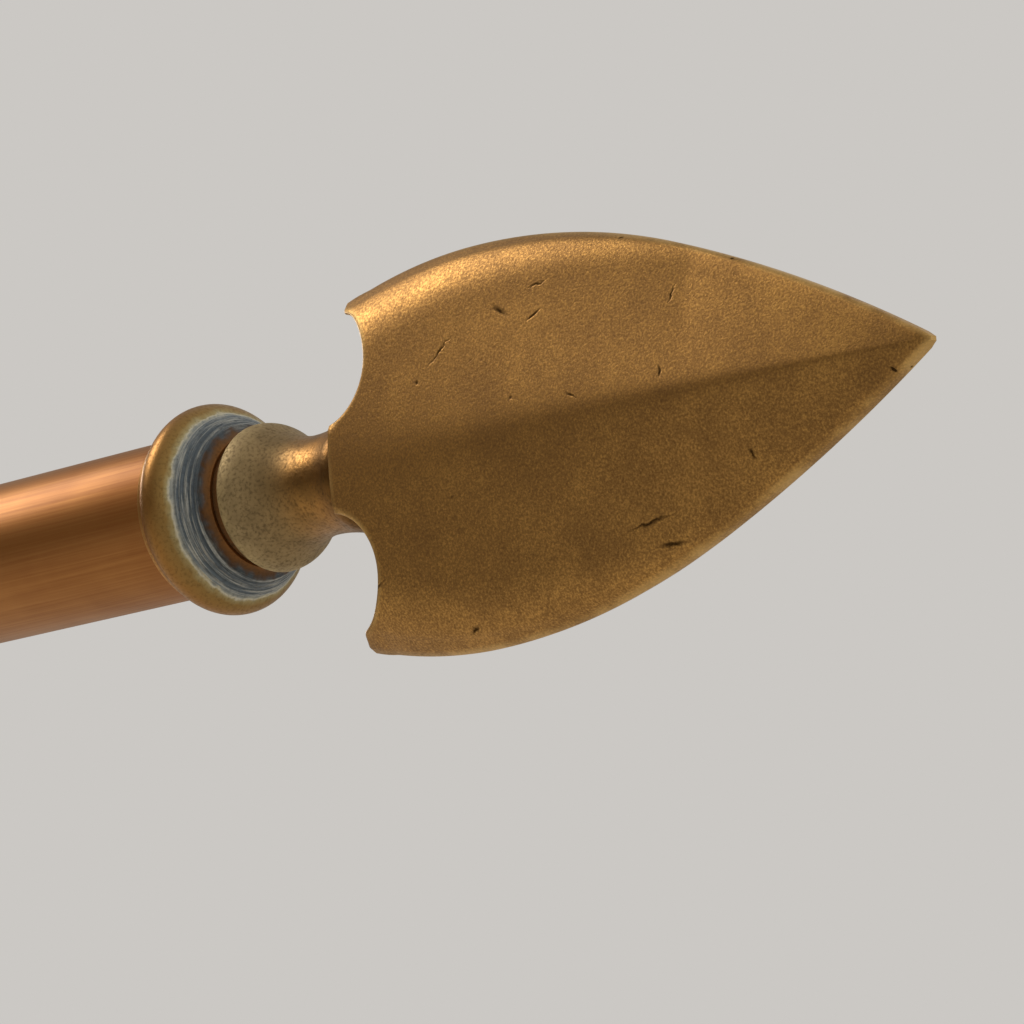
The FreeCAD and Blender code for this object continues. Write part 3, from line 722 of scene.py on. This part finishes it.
def makeSpearFinish():
    # cast yellow brass, darkened by age: a speckled satin brown gold, a few pits, a brighter rim that is
    # partly wear and partly a painted highlight
    material, tree, shader, place = startMaterial("agedCastBrass")
    mottle = addNode(tree, "ShaderNodeTexNoise", {
        "Vector": place, "Scale": 1 / (spearFinish["mottle"] * mm), "Detail": 5.0, "Roughness": 0.6})
    speckle = addNode(tree, "ShaderNodeTexNoise", {
        "Vector": place, "Scale": 1 / (spearFinish["speckle"] * mm), "Detail": 3.0, "Roughness": 0.65})
    blend = addNode(tree, "ShaderNodeMix", {
        0: 0.72, 2: mottle.outputs["Fac"], 3: speckle.outputs["Fac"]}, data_type="FLOAT")
    base = addNode(tree, "ShaderNodeValToRGB", {0: blend.outputs[0]}, stops=(
        (0.34, spearFinish["dark"]), (0.5, spearFinish["body"]), (0.64, spearFinish["grain"])))

    # the rim is rubbed bright in patches; widest on the rear notch edges, this bright rim is also a painted
    # highlight line
    rim = addNode(tree, "ShaderNodeAttribute", attribute_name="rimDistance")
    rimWearAndHighlight = addNode(tree, "ShaderNodeMapRange", {
        0: rim.outputs["Fac"], 1: spearFinish["wornAndHighlitRim"][0], 2: spearFinish["wornAndHighlitRim"][1],
        3: 0.85, 4: 0.0})
    patchy = addNode(tree, "ShaderNodeMapRange", {
        0: mottle.outputs["Fac"], 1: 0.42, 2: 0.58, 3: 0.25, 4: 1.0})
    wearAndHighlight = addNode(tree, "ShaderNodeMath", {0: rimWearAndHighlight.outputs[0], 1: patchy.outputs[0]},
                   operation="MULTIPLY")
    wornAndHighlit = addNode(tree, "ShaderNodeMix", {
        0: wearAndHighlight.outputs[0], 6: base.outputs["Color"], 7: linear(spearFinish["wornAndHighlit"])}, data_type="RGBA")

    # a pit in one cell of twenty, then scratches at two angles
    pits = addNode(tree, "ShaderNodeTexVoronoi", {
        "Vector": place, "Scale": 1 / (spearFinish["pitSpacing"] * mm)})
    pitMark = addNode(tree, "ShaderNodeSeparateColor", {"Color": pits.outputs["Color"]})
    fewPits = addNode(tree, "ShaderNodeMath", {0: pitMark.outputs[1], 1: 0.05}, operation="LESS_THAN")
    pitShape = addNode(tree, "ShaderNodeMapRange", {
        0: pits.outputs["Distance"], 1: 0.06, 2: 0.15, 3: 1.0, 4: 0.0})
    marks = addNode(tree, "ShaderNodeMath", {0: fewPits.outputs[0], 1: pitShape.outputs[0]},
                    operation="MULTIPLY").outputs[0]
    for angle, share, seed in ((0.5, 0.03, 0.13), (-0.8, 0.02, 0.41)):
        nicks = addNicks(tree, place, spearFinish["nickSpacing"], spearFinish["nickLength"],
                         spearFinish["nickWidth"], angle, share, seed)
        marks = addNode(tree, "ShaderNodeMath", {0: marks, 1: nicks}, operation="MAXIMUM").outputs[0]
    # the knocks have ragged outlines, so their places are shaken a little
    noise = addNode(tree, "ShaderNodeTexNoise", {"Vector": place, "Scale": 1 / (1.2 * mm), "Detail": 2.0})
    ragged = addNode(tree, "ShaderNodeVectorMath", {
        0: noise.outputs["Color"], 1: (0.5, 0.5, 0.5)}, operation="SUBTRACT")
    shake = spearFinish["raggedness"] * mm
    raggedPlace = addNode(tree, "ShaderNodeVectorMath", {
        0: ragged.outputs[0], 1: (shake, shake, shake), 2: place}, operation="MULTIPLY_ADD")
    for along, up, length, width, angle in spearDents:
        middle = (collarBack + (neck["end"] + along) * mm, poleY - blade["crest"][0] / 2 * mm,
                  poleZ + up * mm)
        own = addNode(tree, "ShaderNodeMapping", {
            "Vector": raggedPlace.outputs[0], "Location": middle,
            "Rotation": (0, -math.radians(angle), 0),
            "Scale": (length / 2 * mm, 3 * blade["crest"][0] * mm, width / 2 * mm)}, vector_type="TEXTURE")
        far = addNode(tree, "ShaderNodeVectorMath", {0: own.outputs[0]}, operation="LENGTH")
        dent = addNode(tree, "ShaderNodeMapRange", {
            0: far.outputs["Value"], 1: 0.3, 2: 1.2, 3: 1.0, 4: 0.0})
        marks = addNode(tree, "ShaderNodeMath", {0: marks, 1: dent.outputs[0]},
                        operation="MAXIMUM").outputs[0]
    darkShare = addNode(tree, "ShaderNodeMath", {0: marks, 1: spearFinish["darkShare"]},
                        operation="MULTIPLY")
    colour = addNode(tree, "ShaderNodeMix", {
        0: darkShare.outputs[0], 6: wornAndHighlit.outputs[2], 7: linear(spearFinish["pit"])}, data_type="RGBA")
    tree.links.new(colour.outputs[2], shader.inputs["Base Color"])

    rough = addNode(tree, "ShaderNodeMapRange", {
        0: blend.outputs[0], 1: 0.35, 2: 0.65,
        3: spearFinish["roughness"] + 0.1, 4: spearFinish["roughness"] - 0.06})
    roughest = addNode(tree, "ShaderNodeMath", {0: rough.outputs[0], 1: marks}, operation="MAXIMUM")
    tree.links.new(roughest.outputs[0], shader.inputs["Roughness"])
    relief = addNode(tree, "ShaderNodeMath", {0: speckle.outputs["Fac"], 1: 0.7}, operation="MULTIPLY")
    sunk = addNode(tree, "ShaderNodeMath", {0: relief.outputs[0], 1: marks}, operation="SUBTRACT")
    bump = addNode(tree, "ShaderNodeBump", {
        "Height": sunk.outputs[0], "Strength": 0.5, "Distance": 0.12 * mm})
    tree.links.new(bump.outputs[0], shader.inputs["Normal"])
    shader.inputs["Metallic"].default_value = 1.0
    return material


turnedFinish = {
    "roughness": 0.34,
    "speckle": 0.5,         # mm across
    "streak": 3.0,          # mm, and the streaks round the cone are stretched from it
    "streakColour": "cfcec2",
    "dirt": "35291a",
    "wobble": 2.5,          # mm between the waves of the zones' borders
    "collarEnd": 12.5,      # mm from the collar's back, where its last zone ends
    "collarZones": (        # share of that way, colour: lip, bead, pale corner painted as a highlight line, cone, dark brown groove under the neck painted as shade, stem
        (0.0, "c08d4c"), (0.07, "ab7a40"), (0.36, "a2763d"), (0.52, "9d7d47"), (0.565, "b09f70"),
        (0.585, "d8d2b8"), (0.605, "9da19c"), (0.65, "626e76"), (0.86, "4c565d"), (0.89, "6b4a28"),
        (1.0, "94602c")),
    "neckZones": (          # share of the neck's length, colour: stem darkened as painted shade in the groove, cup, waist, lip
        (0.0, "6a4624"), (0.06, "9a6a38"), (0.11, "c2ab79"), (0.2, "ad966a"), (0.42, "9c8154"),
        (0.6, "a67d45"), (0.8, "a97b3f"), (1.0, "755229")),
    "neckMottle": 4.0,      # mm
    "neckShade": "5d4a2a",
    "neckPit": "3c2d1a",
}


def alongFinial(tree, place):
    # mm from the collar's back face, the same on both finials
    axes = addNode(tree, "ShaderNodeSeparateXYZ", {0: place})
    far = addNode(tree, "ShaderNodeMath", {0: axes.outputs[0]}, operation="ABSOLUTE")
    reach = addNode(tree, "ShaderNodeMath", {0: far.outputs[0], 1: collarBack}, operation="SUBTRACT")
    return addNode(tree, "ShaderNodeMath", {0: reach.outputs[0], 1: 1 / mm},
                   operation="MULTIPLY").outputs[0]


def makeCollarFinish():
    # turned brass left to age: golden brown bead with a painted highlight on its pale corner, blue-grey
    # oxide on the cone, brown under the neck with painted shade in the groove
    material, tree, shader, place = startMaterial("agedTurnedBrass")
    reach = alongFinial(tree, place)
    wobble = addNode(tree, "ShaderNodeTexNoise", {
        "Vector": place, "Scale": 1 / (turnedFinish["wobble"] * mm), "Detail": 3.0})
    shift = addNode(tree, "ShaderNodeMapRange", {
        0: wobble.outputs["Fac"], 1: 0.3, 2: 0.7, 3: -0.25, 4: 0.25})
    shifted = addNode(tree, "ShaderNodeMath", {0: reach, 1: shift.outputs[0]}, operation="ADD")
    share = addNode(tree, "ShaderNodeMath", {0: shifted.outputs[0], 1: turnedFinish["collarEnd"]},
                    operation="DIVIDE")
    # the zones paint a highlight on the pale corner and shade in the dark brown groove under the neck
    zones = addNode(tree, "ShaderNodeValToRGB", {0: share.outputs[0]},
                    stops=turnedFinish["collarZones"])

    # pale streaks that run round the cone
    streakPlace = addNode(tree, "ShaderNodeMapping", {"Vector": place, "Scale": (14, 0.3, 0.3)})
    streaks = addNode(tree, "ShaderNodeTexNoise", {
        "Vector": streakPlace.outputs[0], "Scale": 1 / (turnedFinish["streak"] * mm), "Detail": 5.0,
        "Roughness": 0.7})
    pale = addNode(tree, "ShaderNodeMapRange", {
        0: streaks.outputs["Fac"], 1: 0.48, 2: 0.64, 3: 0.0, 4: 0.8})
    onCone = addNode(tree, "ShaderNodeValToRGB", {0: share.outputs[0]}, stops=(
        (0.56, 0.0), (0.6, 1.0), (0.85, 1.0), (0.88, 0.0)))
    paleCone = addNode(tree, "ShaderNodeMath", {0: pale.outputs[0], 1: onCone.outputs["Color"]},
                       operation="MULTIPLY")
    streaked = addNode(tree, "ShaderNodeMix", {
        0: paleCone.outputs[0], 6: zones.outputs["Color"], 7: linear(turnedFinish["streakColour"])},
                      data_type="RGBA")

    speckle = addNode(tree, "ShaderNodeTexNoise", {
        "Vector": place, "Scale": 1 / (turnedFinish["speckle"] * mm), "Detail": 3.0})
    dark = addNode(tree, "ShaderNodeMapRange", {
        0: speckle.outputs["Fac"], 1: 0.32, 2: 0.5, 3: 0.25, 4: 0.0})
    colour = addNode(tree, "ShaderNodeMix", {
        0: dark.outputs[0], 6: streaked.outputs[2], 7: linear(turnedFinish["dirt"])}, data_type="RGBA")
    tree.links.new(colour.outputs[2], shader.inputs["Base Color"])
    grey = addNode(tree, "ShaderNodeValToRGB", {0: share.outputs[0]}, stops=(
        (0.0, 0.0), (0.555, 0.05), (0.59, 0.8), (0.86, 1.0), (0.92, 0.2)))
    oxide = addNode(tree, "ShaderNodeMapRange", {0: grey.outputs["Color"], 3: 0.9, 4: 0.3})
    tree.links.new(oxide.outputs[0], shader.inputs["Metallic"])
    rough = addNode(tree, "ShaderNodeMapRange", {
        0: speckle.outputs["Fac"], 1: 0.35, 2: 0.65,
        3: turnedFinish["roughness"] + 0.12, 4: turnedFinish["roughness"] - 0.04})
    tree.links.new(rough.outputs[0], shader.inputs["Roughness"])
    bump = addNode(tree, "ShaderNodeBump", {
        "Height": speckle.outputs["Fac"], "Strength": 0.35, "Distance": 0.06 * mm})
    tree.links.new(bump.outputs[0], shader.inputs["Normal"])
    return material


def makeNeckFinish():
    # the same brass on the neck: dark stem painted as shade in the groove, dull olive cup speckled with
    # dark pits, golden waist rubbed by hands
    material, tree, shader, place = startMaterial("agedTurnedBrassNeck")
    reach = alongFinial(tree, place)
    share = addNode(tree, "ShaderNodeMapRange", {0: reach, 1: neckSeat, 2: neck["end"]})
    # the zones darken the stem as painted shade in the groove behind the cup
    zones = addNode(tree, "ShaderNodeValToRGB", {0: share.outputs[0]}, stops=turnedFinish["neckZones"])
    mottle = addNode(tree, "ShaderNodeTexNoise", {
        "Vector": place, "Scale": 1 / (turnedFinish["neckMottle"] * mm), "Detail": 5.0, "Roughness": 0.65})
    shade = addNode(tree, "ShaderNodeMapRange", {
        0: mottle.outputs["Fac"], 1: 0.4, 2: 0.6, 3: 0.35, 4: 0.0})
    mottled = addNode(tree, "ShaderNodeMix", {
        0: shade.outputs[0], 6: zones.outputs["Color"], 7: linear(turnedFinish["neckShade"])},
                      data_type="RGBA")
    speckle = addNode(tree, "ShaderNodeTexNoise", {
        "Vector": place, "Scale": 1 / (turnedFinish["speckle"] * mm), "Detail": 3.0})
    pits = addNode(tree, "ShaderNodeMapRange", {0: speckle.outputs["Fac"], 1: 0.3, 2: 0.5, 3: 0.4, 4: 0.0})
    colour = addNode(tree, "ShaderNodeMix", {
        0: pits.outputs[0], 6: mottled.outputs[2], 7: linear(turnedFinish["neckPit"])}, data_type="RGBA")
    tree.links.new(colour.outputs[2], shader.inputs["Base Color"])
    smoother = addNode(tree, "ShaderNodeMapRange", {
        0: share.outputs[0], 1: 0.3, 2: 0.65, 3: 0.22, 4: 0.0})
    rough = addNode(tree, "ShaderNodeMapRange", {
        0: speckle.outputs["Fac"], 1: 0.35, 2: 0.65,
        3: turnedFinish["roughness"] + 0.12, 4: turnedFinish["roughness"] - 0.06})
    roughened = addNode(tree, "ShaderNodeMath", {0: rough.outputs[0], 1: smoother.outputs[0]},
                        operation="ADD")
    tree.links.new(roughened.outputs[0], shader.inputs["Roughness"])
    bump = addNode(tree, "ShaderNodeBump", {
        "Height": speckle.outputs["Fac"], "Strength": 0.4, "Distance": 0.08 * mm})
    tree.links.new(bump.outputs[0], shader.inputs["Normal"])
    dulled = addNode(tree, "ShaderNodeMapRange", {0: share.outputs[0], 1: 0.3, 2: 0.65, 3: 0.5, 4: 1.0})
    tree.links.new(dulled.outputs[0], shader.inputs["Metallic"])
    return material


bracketFinish = {
    "bright": "b8904f",
    "dull": "7f6236",
    "mottle": 6.0,          # mm
    "speckle": 0.714,       # mm
    "roughness": 0.36,
}


def makeBracketFinish():
    # turned brass with an even, aged satin surface
    material, tree, shader, place = startMaterial("agedSatinBrass")
    mottle = addNode(tree, "ShaderNodeTexNoise", {
        "Vector": place, "Scale": 1 / (bracketFinish["mottle"] * mm), "Detail": 6.0, "Roughness": 0.6})
    speckle = addNode(tree, "ShaderNodeTexNoise", {
        "Vector": place, "Scale": 1 / (bracketFinish["speckle"] * mm), "Detail": 2.0})
    blend = addNode(tree, "ShaderNodeMix", {0: 0.4, 2: mottle.outputs["Fac"], 3: speckle.outputs["Fac"]},
                    data_type="FLOAT")
    colour = addNode(tree, "ShaderNodeValToRGB", {0: blend.outputs[0]},
                     stops=((0.35, bracketFinish["dull"]), (0.62, bracketFinish["bright"])))
    tree.links.new(colour.outputs["Color"], shader.inputs["Base Color"])
    rough = addNode(tree, "ShaderNodeMapRange", {
        0: blend.outputs[0], 1: 0.35, 2: 0.65,
        3: bracketFinish["roughness"] + 0.1, 4: bracketFinish["roughness"] - 0.05})
    tree.links.new(rough.outputs[0], shader.inputs["Roughness"])
    bump = addNode(tree, "ShaderNodeBump", {
        "Height": speckle.outputs["Fac"], "Strength": 0.3, "Distance": 0.05 * mm})
    tree.links.new(bump.outputs[0], shader.inputs["Normal"])
    shader.inputs["Metallic"].default_value = 1.0
    return material


steelFinish = {
    "pale": "b9bab8",
    "dark": "7d7e7f",
    "line": 0.2,            # mm between turning lines
}


def makeSteelFinish():
    # free-cutting steel off the lathe: fine rings across the piece and a thin film of oil
    material, tree, shader, place = startMaterial("turnedSteel")
    rings = addNode(tree, "ShaderNodeMapping", {"Vector": place, "Scale": (1, 0.04, 0.04)})
    lines = addNode(tree, "ShaderNodeTexNoise", {
        "Vector": rings.outputs[0], "Scale": 1 / (steelFinish["line"] * mm), "Detail": 2.0})
    colour = addNode(tree, "ShaderNodeValToRGB", {0: lines.outputs["Fac"]},
                     stops=((0.3, steelFinish["dark"]), (0.7, steelFinish["pale"])))
    tree.links.new(colour.outputs["Color"], shader.inputs["Base Color"])
    rough = addNode(tree, "ShaderNodeMapRange", {0: lines.outputs["Fac"], 1: 0.3, 2: 0.7, 3: 0.42, 4: 0.26})
    tree.links.new(rough.outputs[0], shader.inputs["Roughness"])
    bump = addNode(tree, "ShaderNodeBump", {
        "Height": lines.outputs["Fac"], "Strength": 0.4, "Distance": 0.02 * mm})
    tree.links.new(bump.outputs[0], shader.inputs["Normal"])
    shader.inputs["Metallic"].default_value = 1.0
    return material


zincFinish = {
    "dull": "a9adad",
    "bright": "cfd2d0",
    "crystal": 3.0,         # mm across
}


def makeZincFinish():
    # zinc-plated sheet steel: pale crystals, some duller and rougher than others
    material, tree, shader, place = startMaterial("zincPlate")
    crystals = addNode(tree, "ShaderNodeTexVoronoi", {
        "Vector": place, "Scale": 1 / (zincFinish["crystal"] * mm)})
    tone = addNode(tree, "ShaderNodeSeparateColor", {"Color": crystals.outputs["Color"]})
    colour = addNode(tree, "ShaderNodeValToRGB", {0: tone.outputs[0]},
                     stops=((0.0, zincFinish["dull"]), (1.0, zincFinish["bright"])))
    tree.links.new(colour.outputs["Color"], shader.inputs["Base Color"])
    rough = addNode(tree, "ShaderNodeMapRange", {0: tone.outputs[1], 3: 0.32, 4: 0.5})
    tree.links.new(rough.outputs[0], shader.inputs["Roughness"])
    shader.inputs["Metallic"].default_value = 1.0
    return material


nylonFinish = {
    "dim": "d9d3c2",
    "pale": "ece8dc",
    "cloud": 1.111,         # mm across
}


def makeNylonFinish():
    # moulded natural nylon: milky, faintly cloudy, with a soft waxy shine
    material, tree, shader, place = startMaterial("naturalNylon")
    cloud = addNode(tree, "ShaderNodeTexNoise", {
        "Vector": place, "Scale": 1 / (nylonFinish["cloud"] * mm), "Detail": 3.0})
    colour = addNode(tree, "ShaderNodeValToRGB", {0: cloud.outputs["Fac"]},
                     stops=((0.3, nylonFinish["dim"]), (0.7, nylonFinish["pale"])))
    tree.links.new(colour.outputs["Color"], shader.inputs["Base Color"])
    bump = addNode(tree, "ShaderNodeBump", {"Height": cloud.outputs["Fac"], "Strength": 0.2,
                                            "Distance": 0.03 * mm})
    tree.links.new(bump.outputs[0], shader.inputs["Normal"])
    shader.inputs["Roughness"].default_value = 0.45
    shader.inputs["IOR"].default_value = 1.53
    shader.inputs["Subsurface Weight"].default_value = 0.15
    return material


poleTube = makePole()
print("pole done")
collars, necks, blades, studs, bracketPieces = [], [], [], [], []
for side, turn in sides.items():
    collars.append(makeCollar(side, turn))
    necks.append(makeNeck(side, turn))
    blades.append(makeBlade(side, turn))
    studs.append(makeStud(side, turn))
    print(side, "finial done")
    for makePart in (makeRing, makeArm, makeRose, makeThumbscrew):
        bracketPieces.append(makePart(side, turn))
    print(side, "bracket done")

putOn(makePoleFinish(), poleTube)
putOn(makeSpearFinish(), *blades)
putOn(makeCollarFinish(), *collars)
putOn(makeNeckFinish(), *necks)
putOn(makeBracketFinish(), *bracketPieces)
steel = makeSteelFinish()
zinc = makeZincFinish()
nylon = makeNylonFinish()
putOn(steel, *studs)
for side in sides:
    for node in ("_end_plug", "_spring_washer", "_arm_stud"):
        putOn(steel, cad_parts[side + node])
    putOn(zinc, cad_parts[side + "_wall_plate"])
    putOn(nylon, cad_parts[side + "_clamp_pad"])
print("finishes done")


room = {
    "wallColour": "cbc8c4",
    "floorDrop": 0.35,      # m below the pole
    "floorSize": 16,        # m
    "floorGrain": 25.0,     # mm
    "floorColours": ("dedbd6", "e1deda"),
    "brightSide": (0.82, 0.5, 0.2),
    "surround": (           # what the brass reflects, from the dark side of the room to the bright one
        (0.07, "5f554b"), (0.25, "7b736a"), (0.5, "b3b0aa"), (0.75, "cfccc8")),
    "lightAim": 0.05,       # m past the right collar's back
    "lightDistance": 1.25,
    "lightColour": "fff6ea",
    "lights": {                               # way to the light, size in m, power in W
        "windowLight": ((-0.68, -0.28, 0.67), 0.55, 5.4),
        "sideLight": ((-0.94, 0.24, 0.2), 0.35, 1.8),
    },
}
aim = Vector((collarBack + room["lightAim"], poleY, poleZ))

bpy.ops.object.select_all(action="DESELECT")
bpy.ops.mesh.primitive_plane_add(size=room["floorSize"], location=(0, 0, -room["floorDrop"]))
floor = bpy.context.object
floor.name = "floor"
floorMaterial, floorTree, floorShader, floorPlace = startMaterial("paleFloor")
floorGrain = addNode(floorTree, "ShaderNodeTexNoise", {
    "Vector": floorPlace, "Scale": 1 / (room["floorGrain"] * mm), "Detail": 4.0})
floorDim, floorPale = room["floorColours"]
floorColour = addNode(floorTree, "ShaderNodeValToRGB", {0: floorGrain.outputs["Fac"]},
                      stops=((0.3, floorDim), (0.7, floorPale)))
floorTree.links.new(floorColour.outputs["Color"], floorShader.inputs["Base Color"])
floorShader.inputs["Roughness"].default_value = 0.8
putOn(floorMaterial, floor)

for name, (way, size, power) in room["lights"].items():
    lightData = bpy.data.lights.new(name, "AREA")
    lightData.size = size
    lightData.energy = power
    lightData.color = linear(room["lightColour"])[:3]
    light = bpy.data.objects.new(name, lightData)
    bpy.context.scene.collection.objects.link(light)
    toLight = Vector(way).normalized()
    light.location = aim + toLight * room["lightDistance"]
    light.rotation_euler = toLight.to_track_quat("Z", "Y").to_euler()
    light.visible_camera = False

world = bpy.data.worlds.new("room")
bpy.context.scene.world = world
world.use_nodes = True
air = world.node_tree
background = air.nodes["Background"]
direction = addNode(air, "ShaderNodeTexCoord").outputs["Generated"]
towards = addNode(air, "ShaderNodeVectorMath", {0: direction, 1: room["brightSide"]},
                  operation="DOT_PRODUCT")
brightness = addNode(air, "ShaderNodeMapRange", {0: towards.outputs["Value"], 1: -1.0, 2: 1.0})
lit = addNode(air, "ShaderNodeValToRGB", {0: brightness.outputs[0]}, stops=room["surround"])
seen = addNode(air, "ShaderNodeLightPath").outputs["Is Camera Ray"]
shown = addNode(air, "ShaderNodeMix", {
    0: seen, 6: lit.outputs["Color"], 7: linear(room["wallColour"])}, data_type="RGBA")
air.links.new(shown.outputs[2], background.inputs["Color"])

bpy.context.scene.view_settings.view_transform = "Standard"

shot = {
    "place": (0.5587, -0.5195, -0.1289),     # from the collar's back, on the pole's axis
    "forward": (-0.680, 0.715, 0.163),
    "right": (0.715, 0.696, -0.070),
    "lens": 175.8,
    "sensor": 36.0,
    "clip": (0.02, 60),
}
cameraData = bpy.data.cameras.new("camera")
cameraData.lens = shot["lens"]
cameraData.sensor_width = shot["sensor"]
cameraData.clip_start, cameraData.clip_end = shot["clip"]
camera = bpy.data.objects.new("camera", cameraData)
bpy.context.scene.collection.objects.link(camera)
bpy.context.scene.camera = camera
back = -Vector(shot["forward"]).normalized()
rightWay = Vector(shot["right"])
rightWay = (rightWay - back * rightWay.dot(back)).normalized()
upWay = back.cross(rightWay)
cameraPlace = Vector(shot["place"]) + Vector((collarBack, poleY, poleZ))
camera.matrix_world = Matrix.Translation(cameraPlace) @ Matrix(
    (rightWay, upWay, back)).transposed().to_4x4()
print("camera and light done")
